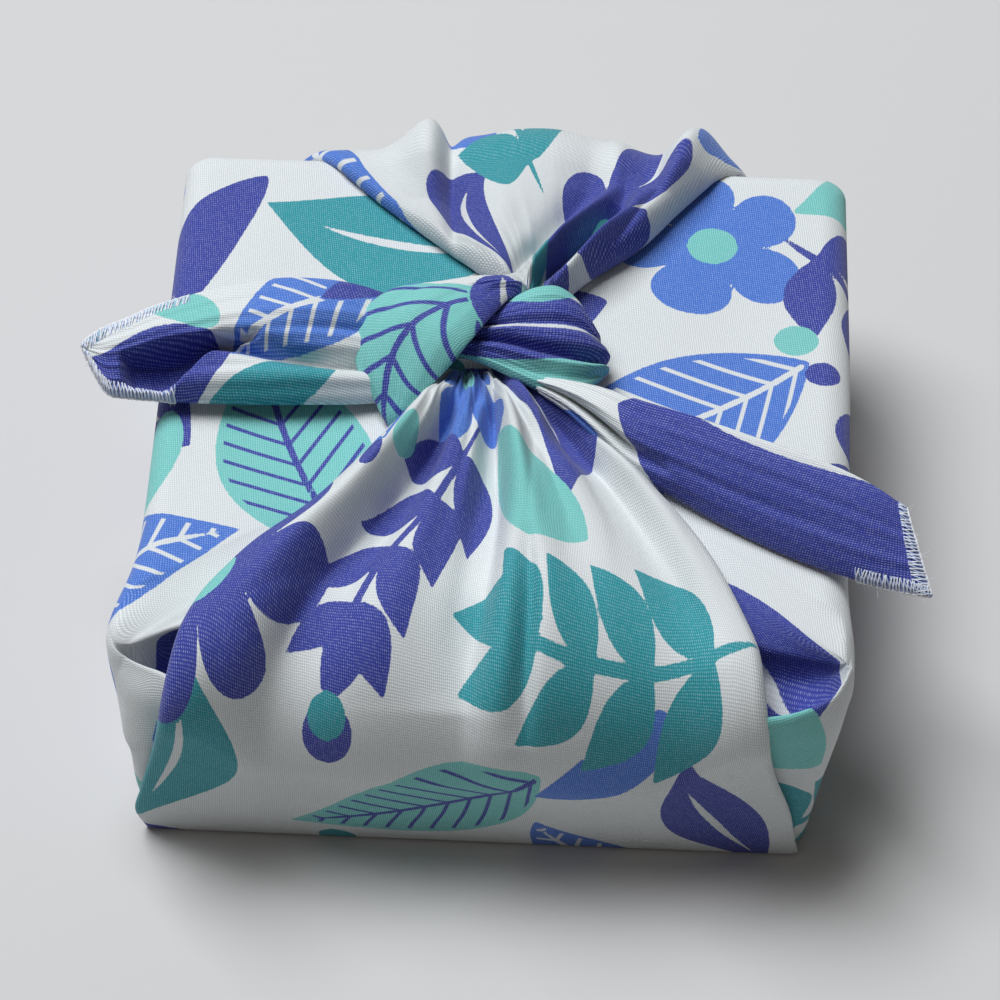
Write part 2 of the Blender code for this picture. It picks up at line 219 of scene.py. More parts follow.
def sprigInside(u, v, shape):
    turn, bend = shape["turn"], shape.get("bend", 0.0)
    length, across = shape["size"]
    along = np.array([cos(radians(turn)), sin(radians(turn))])
    aside = np.array([-sin(radians(turn)), cos(radians(turn))])
    start = np.array(shape["at"], float) - along * length / 2
    stem = motif("berry", None, shape["at"], (length, sprig["stem"]), turn, bend=bend)
    inside, rib, vein = leafInside(u, v, stem)
    pairs = shape["pairs"]
    for pair in range(pairs):
        t = sprig["first"] + sprig["span"] * pair / max(pairs - 1, 1)
        foot = start + along * t * length + aside * (bend * length) * 4 * t * (1 - t)
        lean = np.degrees(np.arctan(4 * bend * (1 - 2 * t)))
        for hand in (1, -1):
            size = across * (sprig["leaf"] - sprig["leafLess"] * t)
            size = size * (1.0 if hand > 0 else sprig["otherHand"])
            way = turn + lean + hand * (sprig["spread"] - sprig["spreadLess"] * t)
            middle = foot + np.array([cos(radians(way)), sin(radians(way))]) * size * 0.5
            leaf = motif("leaf", None, middle, (size, size * sprig["narrow"]), way, bend=0.06 * hand)
            inside = np.maximum(inside, leafInside(u, v, leaf)[0])
    size = [across * part for part in sprig["tipSize"]]
    end = motif("leaf", None, start + along * length * sprig["tip"], size, turn)
    return np.maximum(inside, leafInside(u, v, end)[0]), rib, vein


# the motifs on a patch of cloth: its own ones, or the repeat's that come near, turned and shifted
def laidMotifs(u, v, laid):
    size, turn = repeat["size"], radians(laid.get("turn", 0.0))
    shift = laid.get("shift", (0.0, 0.0))
    low, high = (u.min(), v.min()), (u.max(), v.max())
    if "own" in laid:
        return laid["own"]
    found = []
    for column in range(-repeat["copies"], repeat["copies"] + 1):
        for row in range(-repeat["copies"], repeat["copies"] + 1):
            for shape in repeat["motifs"]:
                x = shape["at"][0] + column * size + shift[0]
                y = shape["at"][1] + (row + repeat["drop"] * (column % 2)) * size + shift[1]
                at = (x * cos(turn) - y * sin(turn), x * sin(turn) + y * cos(turn))
                reach = shape["size"][0] * repeat["reach"]
                if all(low[i] - reach < at[i] < high[i] + reach for i in (0, 1)):
                    found.append({**shape, "at": at, "turn": shape["turn"] + laid.get("turn", 0.0)})
    return found


inks = ("indigo", "royal", "mint", "teal")
overlay = {"near": 0.75, "margin": 9.0, "overlap": 0.3, "lineEnd": 1.5, "ribEnd": 0.6, "veinPast": 0.6}


# how far inside each ink every place is; a later motif lies over the earlier ones
def inkPlaces(u, v, laid):
    ink = {colour: np.full(u.shape, noInk) for colour in inks}
    rib, vein, veined = np.full(u.shape, noInk), np.zeros(u.shape), np.full(u.shape, noInk)
    shapes = {"sprig": sprigInside, "flower": flowerInside}
    for shape in laidMotifs(u, v, laid):
        reach = max(shape["size"]) * overlay["near"] + overlay["margin"]
        near = np.hypot(u - shape["at"][0], v - shape["at"][1]) < reach
        if not near.any():
            continue
        inside, slit, lines = shapes.get(shape["kind"], leafInside)(u[near], v[near], shape)
        for colour in ink:
            before = ink[colour][near]
            ink[colour][near] = (np.maximum(before, inside) if colour == shape["ink"]
                                 else np.minimum(before, np.maximum(overlay["overlap"] - inside, noInk)))
        over = inside > 0.0                      # lines end before their own outline and below a later motif
        plain = overlay["ribEnd" if "rib" in shape else "lineEnd"]
        rib[near] = np.where(over, np.minimum(slit, inside - plain), np.minimum(rib[near], -inside))
        if "veins" in shape:
            vein[near] = np.where(inside > -overlay["veinPast"], lines, vein[near])
        field = inside - overlay["lineEnd"] if "veins" in shape else noInk
        veined[near] = np.where(over, field, np.minimum(veined[near], -inside))
    return {**ink, "rib": rib, "vein": vein, "veined": veined}


# a material, its shader, and two functions that add nodes: inputs are given by place (in0) or name
def newMaterial(name, colour, roughness):
    material = bpy.data.materials.new(name)
    material.use_nodes = True
    tree = material.node_tree
    shader = tree.nodes["Principled BSDF"]
    shader.inputs["Base Color"].default_value = (*colour, 1.0)
    shader.inputs["Roughness"].default_value = roughness

    def add(kind, **values):
        node = tree.nodes.new(kind)
        for key, value in values.items():
            if key[2:].isdigit():
                socket = node.inputs[int(key[2:])]
            elif key in node.inputs:
                socket = node.inputs[key]
            else:
                setattr(node, key, value)
                continue
            if isinstance(value, bpy.types.NodeSocket):
                tree.links.new(value, socket)
            else:
                socket.default_value = (*value, 1.0) if socket.type == "RGBA" else value
        return node

    def work(operation, one, two=0.0, three=0.0):
        return add("ShaderNodeMath", operation=operation, in0=one, in1=two, in2=three).outputs[0]

    return material, shader, add, work


finish = {
    "ground": (0.765, 0.81, 0.83), "indigo": (0.024, 0.042, 0.355), "royal": (0.060, 0.195, 0.69),
    "mint": (0.19, 0.625, 0.59), "teal": (0.012, 0.33, 0.385), "edging": (0.62, 0.70, 0.86),
    "roughness": 0.74, "sheen": 0.15, "sheenRoughness": 0.45, "specular": 0.35,
    "relief": 0.16, "strength": 0.55, "fineNoise": 5.0, "fine": 0.35,
    # on the next line, groove and peak are the tones of painted shade in the weave's grooves and painted
    # light on its crowns
    "crown": 0.40, "crownTint": (0.62, 0.66, 0.80), "crownPower": 2.4, "grooveShade": 0.72, "peak": 1.06,
    "shadeTo": 0.8, "drift": 0.22, "sway": 0.5, "floatShare": 0.72, "floats": 0.88, "twillLine": 0.12,
    "unevenFrom": 0.72, "uneven": 0.45, "edgeNoise": 1.4, "ragged": 0.5, "edge": 0.12,
    "vein": (0.07, 0.13), "sewn": (0.4, 2.6), "sewnTint": 0.45,
}


def printedTwill():
    material, shader, add, work = newMaterial("printedTwill", finish["ground"], finish["roughness"])

    def split(vector):
        return list(add("ShaderNodeSeparateXYZ", in0=vector).outputs)

    def carried(name):                            # a value that the sheet carries at each place
        return add("ShaderNodeAttribute", attribute_name=name).outputs["Vector"]

    def ramp(value, low, high, start, end, kind="SMOOTHSTEP"):
        return add("ShaderNodeMapRange", interpolation_type=kind, in0=value, in1=low, in2=high,
                   in3=start, in4=end).outputs[0]

    def arch(value):                              # 0 at 0 and 1, 1 halfway
        return work("SINE", work("MULTIPLY", value, pi))

    def paint(under, mask, over, blend="MIX"):
        mix = add("ShaderNodeMix", data_type="RGBA", blend_type=blend, Factor=mask, A=under, B=over)
        return mix.outputs["Result"]

    place = carried("clothPlace")
    indigo, royal, mint, teal, rib, veined = split(carried("inkOne")) + split(carried("inkTwo"))
    phase, hem = split(carried("inkVeins"))[0], split(place)[2]
    wander = add("ShaderNodeTexNoise", in0=place, Scale=finish["edgeNoise"], Detail=2.0).outputs["Fac"]
    ragged = work("MULTIPLY", work("SUBTRACT", wander, 0.5), finish["ragged"])

    # the weave: crowns of the floats along each thread, each thread a third of a repeat on
    drift = add("ShaderNodeTexNoise", in0=place, Scale=finish["drift"], Detail=3.0).outputs["Color"]
    swayed = add("ShaderNodeVectorMath", operation="MULTIPLY_ADD", in0=drift,
                 in1=(finish["sway"], finish["sway"], 0.0), in2=place).outputs[0]
    turned = add("ShaderNodeMapping", in0=swayed, Rotation=(0.0, 0.0, radians(45 + cloth["grain"])),
                 Scale=(1 / cloth["floatStep"], 1 / cloth["threadStep"], 1.0)).outputs[0]
    run, rise = split(turned)[:2]
    thread = work("FLOOR", rise)
    third = work("MULTIPLY", run, 1 / 3)
    count = work("ADD", third, work("MULTIPLY", thread, 1 / 3))
    across = arch(work("FRACT", rise))
    along = arch(work("MINIMUM", work("DIVIDE", work("FRACT", count), finish["floatShare"]), 1.0))
    line = arch(work("FRACT", work("ADD", third, work("MULTIPLY", rise, 1 / 3))))
    cell = add("ShaderNodeCombineXYZ", in0=thread, in1=work("FLOOR", count), in2=0.0).outputs[0]
    uneven = add("ShaderNodeTexWhiteNoise", noise_dimensions="2D", Vector=cell).outputs["Value"]
    crown = work("ADD", work("MULTIPLY", work("MULTIPLY", across, along), finish["floats"]),
                 work("MULTIPLY", line, finish["twillLine"]))
    crown = work("MULTIPLY", crown, work("MULTIPLY_ADD", uneven, finish["uneven"], finish["unevenFrom"]))

    def inkMask(value):
        return ramp(work("ADD", value, ragged), -finish["edge"], finish["edge"], 0.0, 1.0)

    masks = [inkMask(value) for value in (indigo, royal, mint, teal)]
    colour = finish["ground"]
    for mask, name in zip(masks, inks):
        colour = paint(colour, mask, finish[name])
    anyInk = work("MAXIMUM", work("MAXIMUM", masks[0], masks[1]), work("MAXIMUM", masks[2], masks[3]))
    veins = ramp(work("ABSOLUTE", work("SUBTRACT", work("FRACT", phase), 0.5)), *finish["vein"], 1.0, 0.0)
    lines = work("MAXIMUM", inkMask(rib), work("MULTIPLY", veins, inkMask(veined)))
    onMint = paint(finish["ground"], masks[2], finish["indigo"])
    colour = paint(colour, work("MULTIPLY", lines, anyInk), onMint)

    # painted shade in the weave's grooves and a touch of painted light on its crowns, multiplied into the
    # colour; thread crowns also carry less ink
    shade = ramp(crown, 0.0, finish["shadeTo"], finish["grooveShade"], finish["peak"], "LINEAR")
    tone = add("ShaderNodeCombineXYZ", in0=shade, in1=shade, in2=shade).outputs[0]
    colour = paint(colour, 1.0, tone, "MULTIPLY")
    bright = work("MULTIPLY", work("POWER", crown, finish["crownPower"]), finish["crown"])
    colour = paint(colour, work("MULTIPLY", bright, anyInk), finish["crownTint"])
    colour = paint(colour, ramp(hem, *finish["sewn"], finish["sewnTint"], 0.0), finish["edging"])
    fine = add("ShaderNodeTexNoise", in0=place, Scale=finish["fineNoise"]).outputs["Fac"]
    bump = add("ShaderNodeBump", Strength=finish["strength"], Distance=finish["relief"] * mm,
               Height=work("ADD", crown, work("MULTIPLY", fine, finish["fine"])))
    material.node_tree.links.new(colour, shader.inputs["Base Color"])
    material.node_tree.links.new(bump.outputs[0], shader.inputs["Normal"])
    shader.inputs["Sheen Weight"].default_value = finish["sheen"]
    shader.inputs["Sheen Roughness"].default_value = finish["sheenRoughness"]
    shader.inputs["Specular IOR Level"].default_value = finish["specular"]
    return material


threadLook = {
    "roughness": 0.6, "sheen": 0.3, "noise": 900.0, "tint": (0.3, 0.7, 0.82, 1.05),
    "colours": {"whiteThread": (0.80, 0.82, 0.86), "blueThread": (0.42, 0.53, 0.80)},
}


def threadFinish(name, colour):
    material, shader, add, _ = newMaterial(name, colour, threadLook["roughness"])
    spots = add("ShaderNodeTexCoord").outputs["Object"]
    noise = add("ShaderNodeTexNoise", in0=spots, Scale=threadLook["noise"]).outputs["Fac"]
    low, high, darkest, brightest = threadLook["tint"]
    tint = add("ShaderNodeMapRange", in0=noise, in1=low, in2=high, in3=darkest, in4=brightest).outputs[0]
    tone = add("ShaderNodeCombineXYZ", in0=tint, in1=tint, in2=tint).outputs[0]
    tinted = add("ShaderNodeMix", data_type="RGBA", blend_type="MULTIPLY", Factor=1.0, A=colour, B=tone)
    material.node_tree.links.new(tinted.outputs["Result"], shader.inputs["Base Color"])
    shader.inputs["Sheen Weight"].default_value = threadLook["sheen"]
    return material


twill = printedTwill()
threads = [threadFinish(name, colour) for name, colour in threadLook["colours"].items()]
print("made the materials")


def standIn(piece):
    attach(piece, "root")
    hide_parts("furoshiki_cloth")
    print("made", piece.name, len(piece.data.polygons), "faces")
    return piece


def dress(piece):
    piece.data.materials.append(twill)
    standIn(piece)


# the base wrap, in two halves that meet under the gathered panels
body = {
    # name, middle, spread, push
    "bulges": [
        ("left gusset", (-78, -64, 46), (12, 16, 17), (-5, -1.5, 0)),
        ("left shoulder", (-78, -60, 58), (10, 14, 8), (-2, 0, 0.8)),
        ("left foot", (-78, -72, 14), (10, 12, 14), (-2, 0, 0)),
        ("right gusset", (80, -62, 50), (10, 15, 12), (2.6, 0, 0)),
        ("right side", (80, 10, 55), (8, 55, 12), (1.4, 0, 0)),
        ("left dip", (-52, 8, 62), (16, 26, 9), (0, 0, -1.1)),
        ("left swell", (-60, 50, 62), (13, 16, 9), (0, 0, 0.8)),
        ("left slack", (-58, -34, 62), (14, 15, 9), (0, 0, 0.7)),
        ("right dip", (56, 26, 62), (16, 20, 9), (0, 0, -1)),
        ("right swell", (60, -26, 62), (14, 18, 9), (0, 0, 0.8)),
        ("right arch", (74, -58, 62), (12, 7, 7), (0, 0, 1.6)),
    ],
    # round the outline from the side's middle: place, the upper lip, the rim, the bottom's height
    "leftPocket": [
        (-103, -59, -62, 60.8, -59, -78, 57.2, 48), (-94, -66, -63, 60.3, -66.5, -76.5, 57.5, 47),
        (-86, -71, -64.3, 59.8, -72.2, -73, 56.6, 47), (-79, -75.5, -65.8, 59, -76.6, -70.8, 56, 49),
        (-72, -79.5, -66.8, 58.3, -80.3, -68.8, 56.2, 53), (-66, -81.6, -66.6, 58, -81.8, -67.4, 57, 56.5),
    ],
    "rightPocket": [
        (-103, 57, -61, 57, 57, -78.6, 56.5, 50), (-98, 62, -61.7, 57, 62, -79.7, 58, 50),
        (-94, 66, -62.3, 57, 66.6, -79.2, 58.5, 50), (-88, 71.5, -63.3, 57.5, 71.7, -77.6, 59, 51),
        (-82, 76, -64.8, 59, 76.9, -74.9, 60, 54), (-76, 78.6, -66.2, 60, 79.7, -70.9, 61, 57.5),
        (-70, 80.4, -66.4, 61.5, 81.2, -67.2, 61.8, 61),
    ],
    # beside a pocket the rows are drawn to the box's edge, as its lip and rim are
    "pull": [
        (40, 0), (44, 0), (56, 6), (67, 12.5), (76, 5), (85, -3), (98, -1.5), (110, 0), (120, 0),
    ],
    # steps round the outline, over twice topHalf each way, and steps out from the top's middle
    "places": ((-160, -108, 2.4), (-108, -58, 0.6), (-58, 100, 0.95), (100, 160, 2.2)),
    "ways": ((0, 44, 1.3), (44, 110, 0.62), (110, 146, 1.1)), "lastWay": 146, "lastStep": 3.2,
    "pullFrom": (-84, -72), "pullTo": (-60, -26), "tuckFrom": (-108, -100), "tuckTo": (-71, -63),
    "thinUnder": 8.0, "thinnest": 0.15, "wallBlend": (2.0, 6.0),
    "smoothWays": (46, 66), "smoothPlaces": (-114, -56), "sweeps": 500,
    "leftPrint": {"shift": (-18, 8), "turn": 0},
    "rightPrint": {"shift": (40, 60), "turn": 180},
}


# half size and height along the way from the top's middle over the edge and down to the foot
def wrapProfile(way):
    topRound, footRound = wrap["topRound"], wrap["footRound"]
    flat = wrap["topHalf"] - topRound
    bend = topRound * pi / 2
    wall = wrap["height"] - topRound - footRound
    lean = wrap["topHalf"] - wrap["footHalf"]
    down = np.clip(way - flat - bend, 0.0, wall)
    turn = np.clip((way - flat) / topRound, 0.0, pi / 2)
    half = np.minimum(way, flat) + topRound * np.sin(turn)
    height = wrap["height"] - topRound + topRound * np.cos(turn) - down
    footTurn = np.clip((way - flat - bend - wall) / footRound, 0.0, pi / 2)
    half -= lean * (down + footRound * np.sin(footTurn)) / (wrap["height"] - topRound)
    half -= footRound * (1 - np.cos(footTurn))
    height -= footRound * np.sin(footTurn)
    under = np.maximum(way - flat - bend - wall - footRound * pi / 2, 0.0)
    return np.maximum(half - under, 0.0), np.maximum(height, 0.0)


# the outline's point at a place round it, counted from the side's middle
def outlinePoint(place, half):
    top = wrap["topHalf"]
    rounding = np.minimum(wrap["cornerRound"], half)
    zone = wrap["cornerRound"] * pi / 4
    straight = half - rounding
    size = np.abs(place)
    turn = np.clip((size - (top - zone)) / (2 * zone), 0.0, 1.0) * pi / 2
    onSide = np.clip(size / (top - zone), 0.0, 1.0)
    onEnd = 1.0 - np.clip((size - top - zone) / (top - zone), 0.0, 1.0)
    x = np.where(size > top + zone, straight * onEnd, straight + rounding * np.cos(turn))
    y = np.where(size < top - zone, straight * onSide, straight + rounding * np.sin(turn))
    return x, y * np.sign(place)


def bulged(points):
    moved = points.copy()
    for name, at, spread, push in body["bulges"]:
        away = (points - np.array(at, float)) / np.array(spread, float)
        moved += np.array(push, float) * np.exp(-(away ** 2).sum(-1))[..., None]
    return moved


# where the wrap starts to lie deeper, and where it is deepest
sinking = {"within": (3.0, 11.0), "out": (2.0, 14.0), "brinkWithin": (8.0, 26.0), "brinkOut": (50.0, 70.0),
           "top": (44.0, 58.0), "wall": (64.0, 78.0), "bendFrom": 70.0, "bendDrop": 4.0}


# the wrap lies a little deeper where a panel covers it, and most at its brink
def sunkUnder(points):
    moved = points.copy()
    x, height = points[..., 0], points[..., 2]
    for panel in (panels["front"], panels["back"]):
        out = panel["side"] * points[..., 1]
        drop = np.maximum(wrap["height"] - sinking["bendDrop"] - height, 0.0)
        drop = np.where(out > sinking["bendFrom"], drop, 0.0)
        edges = readTable(panel["edges"], (np.maximum(out, 0.0) + drop).ravel())
        left, right = edges[:, 0].reshape(x.shape), edges[:, 1].reshape(x.shape)
        within = np.minimum(x - left, right - x)
        depth = wrap["sink"] * smoothStep(within, *sinking["within"]) * smoothStep(out, *sinking["out"])
        brink = smoothStep(within, *sinking["brinkWithin"]) * smoothStep(out, *sinking["brinkOut"])
        depth = depth + wrap["brinkSink"] * brink
        moved[..., 2] -= depth * smoothStep(height, *sinking["top"])
        moved[..., 1] -= panel["side"] * depth * smoothStep(out, *sinking["wall"])
    moved[..., 2] = np.maximum(moved[..., 2], 0.0)
    return moved


# the tucked corner's rows: over the lip, down into the pocket, up to the rim and down the gusset
def tuckedRows(plain, ways, pocket, places, flat):
    features = readTable(pocket, places)
    lip, rim, deep = features[:, 0:3], features[:, 3:6], features[:, 6]
    across = (rim - lip) * (1, 1, 0)
    gap = np.linalg.norm(across, axis=1)[:, None]
    inward = -across / np.maximum(gap, 0.001)
    up = np.array([0.0, 0.0, 1.0])
    low = np.stack([lip[:, 0], lip[:, 1], deep], -1)
    thin = np.clip(gap / body["thinUnder"], body["thinnest"], 1.0)

    def plainAt(at):
        return plain[min(np.searchsorted(ways, at), len(ways) - 1)]

    def topAt(points, share, extra):          # lifted on to the plain top's height there
        placed = points.copy()
        half = np.maximum(np.abs(placed[:, 0]), np.abs(placed[:, 1]))
        past = np.clip(half - flat, 0.0, wrap["topRound"])
        height = wrap["height"] - wrap["topRound"] + np.sqrt(wrap["topRound"] ** 2 - past ** 2)
        placed[:, 2] = placed[:, 2] * (1 - share) + height * share + extra
        return placed

    stations = {
        44.0: plainAt(44), 50.0: plainAt(50),
        57.0: topAt(plainAt(56) * 0.4 + (lip + inward * 10) * 0.6, 1.0, 0.0),
        63.0: topAt(lip + inward * 4.2, 0.75, 0.3),
        67.0: lip + inward * 0.9 + up * 0.5 * thin,
        70.5: lip + inward * 0.5 - up * 3.2 * thin,
        74.0: low + across * 0.10,
        77.5: low + across * 0.55 - up * 0.6,
        81.0: rim + inward * 2.0 * thin - up * 5.0 * thin,
        84.0: rim + inward * 1.3 * thin - up * 1.2 * thin,
        85.4: rim + inward * 0.2 * thin + up * 0.1,
        86.8: rim - inward * 0.75 - up * 1.1,
        90.0: rim * 0.75 + plainAt(88) * 0.25 - inward * 0.9 - up * 3.4,
        97.0: plainAt(96) * 0.6 + (rim - inward * 1.2 - up * 10) * 0.4,
        104.0: plainAt(104), 110.0: plainAt(110),
    }
    rows = np.where((ways >= min(stations)) & (ways <= max(stations)))[0]
    table = [(key, *station.ravel()) for key, station in stations.items()]
    laid = readTable(table, ways[rows]).reshape(len(rows), len(places), 3)
    share = smoothStep(places, *body["tuckFrom"]) * (1 - smoothStep(places, *body["tuckTo"]))
    share = share[None, :, None]
    points = plain.copy()
    points[rows] = plain[rows] * (1 - share) + laid * share
    return points


def buildHalf(name, hand, pocket, motifs):
    topHalf = wrap["topHalf"]
    flat = topHalf - wrap["topRound"]
    length = (flat + wrap["topRound"] * pi / 2 + wrap["height"] - wrap["topRound"] - wrap["footRound"]
              + wrap["footRound"] * pi / 2 + wrap["footHalf"] - wrap["footRound"])
    places = steps(*body["places"])
    ways = steps(*body["ways"], (body["lastWay"], length, body["lastStep"]))
    place, way = np.meshgrid(places, ways)
    beside = smoothStep(place, *body["pullFrom"]) * (1 - smoothStep(place, *body["pullTo"]))
    way = way + beside * readTable(body["pull"], way.ravel()).reshape(way.shape)
    half, height = wrapProfile(way)
    inner = np.clip(way / flat, 0.0, 1.0)            # rings on the flat top are scaled from its rim
    x, y = outlinePoint(place, np.where(way < flat, flat, half))
    x, y = x * inner * hand, y * inner
    lean = wrap["footShift"] * (1 - height / wrap["height"])
    plain = np.stack([x + lean, y, height], -1)
    foot = plain[..., 2] <= 0.0
    plain = bulged(plain)
    plain[..., 2] = np.where(foot, 0.0, np.maximum(plain[..., 2], 0.0))
    points = tuckedRows(plain, ways, pocket, places, flat)
    ring = slice(*(int(at) for at in np.searchsorted(ways, body["smoothWays"])))
    span = slice(*(int(at) for at in np.searchsorted(places, body["smoothPlaces"])))
    for sweep in range(body["sweeps"]):              # the cloth is drawn smooth between the top and the lip
        around = points[ring.start - 1:ring.stop - 1, span] + points[ring.start + 1:ring.stop + 1, span]
        around = around + points[ring, span.start - 1:span.stop - 1]
        around = around + points[ring, span.start + 1:span.stop + 1]
        points[ring, span] = around / 4
    points = sunkUnder(points)

    # the cloth's place: straight across on the top, round the outline on the walls
    before, after = body["wallBlend"]
    onWall = smoothStep(way, topHalf - before, topHalf + after)[..., None]
    spread = way / np.maximum(np.where(way < flat, way, half), 0.001)
    onTop = np.stack([x * spread, y * spread], -1)
    onSides = np.stack([hand * way, place], -1)
    where = onTop * (1 - onWall) + onSides * onWall
    return makeSheet(name, points, where, motifs, flip=hand > 0, weld=True)


# the gathered front and back panels; a pleat's name and lean come before its distances along the
# panel, the x of its crest there, its height and its spread; over 1 the left slope is the longer one
panels = {
    "widths": [(5, 85), (20, 105), (45, 135), (80, 150), (140, 155)],      # flat width at a distance
    "front": {
        "side": -1, "first": -4, "bend": 14, "middleBend": 30, "fine": 1, "rightEase": 0.55,
        "rows": ((-9, 40, 0.45), (40, 96, 0.7), (96, 134.2, 0.75)),
        "edges": [
            (-9, -14, 3), (-4, -17, 10), (2, -20, 16.5), (8, -23, 23.5), (18, -30, 32), (24, -34.5, 36.5),
            (34, -43, 44.5), (45, -55.5, 51.4), (52, -61, 54.8), (57, -64.3, 57), (66, -68, 60.5),
            (76, -70.5, 62.5), (98, -74.5, 65.5), (116, -78.5, 70), (127, -80.5, 71.5), (136, -78, 73),
        ],
        "climb": [
            (-9, 2), (-4, 5), (2, 7.4), (8, 8.8), (20, 9.2), (40, 8), (58, 6.2), (74, 4.4), (90, 2.2),
            (106, 0.6), (136, 0),
        ],
        "pleats": [
            ("left roll", 1, (-4, 3, 12, 29, 46, 66), (-12, -15, -20.5, -31, -44, -60),
             (3, 6, 6, 5.4, 4.4, 2.2), (4, 4.4, 5, 6, 7, 8)),
            ("left furrow", 0.66, (-3, 9, 18, 29, 54, 73, 94), (-8.6, -12, -16.5, -22.8, -37.7, -45.6, -48),
             (-3, -6.5, -9.5, -11, -11, -8.5, -2.4), (1.8, 2.8, 4.2, 5.6, 7.2, 7.6, 9)),
            ("inner left ridge", 1, (-6, 6, 20, 34, 56, 76), (-6.4, -7.6, -10.5, -14.5, -22, -28),
             (3, 3.6, 3, 2.6, 2.2, 0.8), (1.5, 2, 3.4, 5, 8, 12)),
            ("inner left furrow", 1, (-5, 1, 14, 33, 50), (-4.8, -5.4, -7, -10.6, -14),
             (-2.6, -2.8, -1.6, -0.5, 0), (0.9, 1.1, 1.8, 3, 4)),
            ("middle crest", 1, (-4, 1, 14.5, 33.6, 55, 74), (-3.3, -3.7, -4.9, -7, -8.8, -10),
             (2.6, 3, 2.6, 2.4, 2.2, 0.8), (1.2, 1.5, 2.4, 3.4, 5, 8)),
            ("middle furrow", 1.9, (-4, 1, 14, 28, 44, 62, 78), (-1.9, -1.6, -0.6, 0.2, -1.2, -3.4, -5),
             (-3, -6, -10, -13, -13, -9.5, -2), (1, 1.5, 2.8, 4.6, 6.2, 6.2, 7)),
            ("middle bulge", 1, (24, 40, 58, 70, 82), (3.6, 3.2, 4, 4.4, 4), (0.2, 1.6, 2.6, 3.4, 2.4),
             (2.4, 2.8, 4, 6, 8)),
            ("small crease", 1.4, (40, 56, 72, 84), (8, 9.4, 9, 9.4), (-0.8, -3.4, -3.6, -0.6),
             (1.6, 2.2, 2.8, 3.4)),
            ("middle ridge", 1, (-6, -3, 6, 17, 38, 62, 80), (-2.6, -1, 1.8, 4.4, 8.6, 13, 16),
             (2.6, 3, 3.6, 3.6, 3.6, 3.2, 1.2), (1, 1.2, 1.8, 2.8, 5, 8, 12)),
            ("inner right crease", 1, (-8, -5, 3, 11, 32, 48), (-1, 0.2, 4, 7.6, 15.4, 21),
             (-2.8, -3.4, -3.4, -2.6, -1.2, 0), (0.8, 0.9, 1.2, 1.8, 3.2, 5)),
            ("inner right ridge", 1, (-8, -4, 3, 14, 35, 60), (0.6, 2.8, 7.2, 12.2, 22, 33),
             (3, 3.6, 3.4, 2.6, 1.4, 0.3), (1.4, 1.7, 2.3, 3.4, 6, 9)),
            ("right furrow", 1.35, (-6, -2, 4, 13, 28, 54, 70), (4.8, 7.6, 12.6, 18.6, 29, 43.5, 50),
             (-3.6, -5, -7, -8, -7.5, -4.4, -1), (1.2, 1.6, 2.4, 3.8, 6, 8, 10)),
            ("right ridge", 1, (-4, 0, 5, 14, 31, 63), (8.2, 11, 16.6, 23.8, 35.4, 51.8),
             (1.6, 1.8, 2.4, 2.8, 2.6, 1), (1.5, 1.9, 2.3, 3, 4.5, 6)),
            ("corner dent", 1, (60, 84, 104), (-58, -60, -62), (-0.6, -1.4, -0.4), (5, 7, 9)),
            ("right dent", 1, (70, 92, 112), (44, 47, 50), (-0.3, -1.2, -0.3), (5, 8, 10)),
            ("wall swell", 1, (84, 102, 120), (20, 24, 26), (0.3, 1, 0.3), (14, 18, 20)),
        ],
        "print": {"shift": (96, 128), "turn": 96},
    },
    "back": {
        "side": 1, "first": 26, "bend": 9, "middleBend": 9, "fine": 0.35, "rightEase": 0,
        "rows": ((25, 64, 0.45), (64, 96, 0.7), (96, 136.8, 1.1)),
        "edges": [
            (26, 1, 11), (34, -1, 15), (40, -6.5, 20), (49, -17, 30), (63, -33, 40.5), (72, -42, 47.5),
            (80, -50, 54), (100, -62, 65), (138, -73, 73),
        ],
        "climb": [
            (26, 10), (34, 9.4), (44, 7.4), (54, 5), (66, 3), (80, 1.6), (100, 0.4), (138, 0),
        ],
        "pleats": [
            ("left crease", 1, (45, 59, 78), (-13, -14.5, -16), (-2.5, -4, -5), (2, 2.6, 2.6)),
            ("ear", 1, (60, 75, 84), (-19, -21, -22), (1, 8, 6), (6, 7, 8)),
            ("puff", 1, (50, 72, 84), (2, 6, 8), (2, 6, 8), (10, 20, 28)),
            ("furrow by the first roll", 1, (34, 50, 64), (0.6, 9.5, 18), (-4, -5.5, -2), (1.8, 2.8, 5)),
            ("first roll", 1, (31, 48, 66), (4.4, 14.3, 25.5), (4, 6.6, 3), (1.8, 2.2, 3.2)),
            ("first furrow", 1, (32, 46, 60), (7.2, 16.9, 26.6), (-6, -8, -2.6), (1.2, 1.6, 2.4)),
            ("second roll", 1, (29, 42, 56), (9.4, 19.2, 29), (4, 6.6, 3), (1.8, 2.2, 3.2)),
            ("second furrow", 1.3, (31, 44, 62), (12.4, 23, 34.5), (-6, -8.5, -4.6), (1.6, 2.3, 3.6)),
            ("edge roll", 1, (36, 61, 88), (18, 34, 49), (7, 10, 7.5), (3.4, 5.2, 6.6)),
            ("folds of the puff", 1, (40, 56, 70), (-3, -3, -4), (1, 1.6, 0.6), (3, 5, 7)),
        ],
        "print": {"shift": (30, -20), "turn": 30},
    },
}


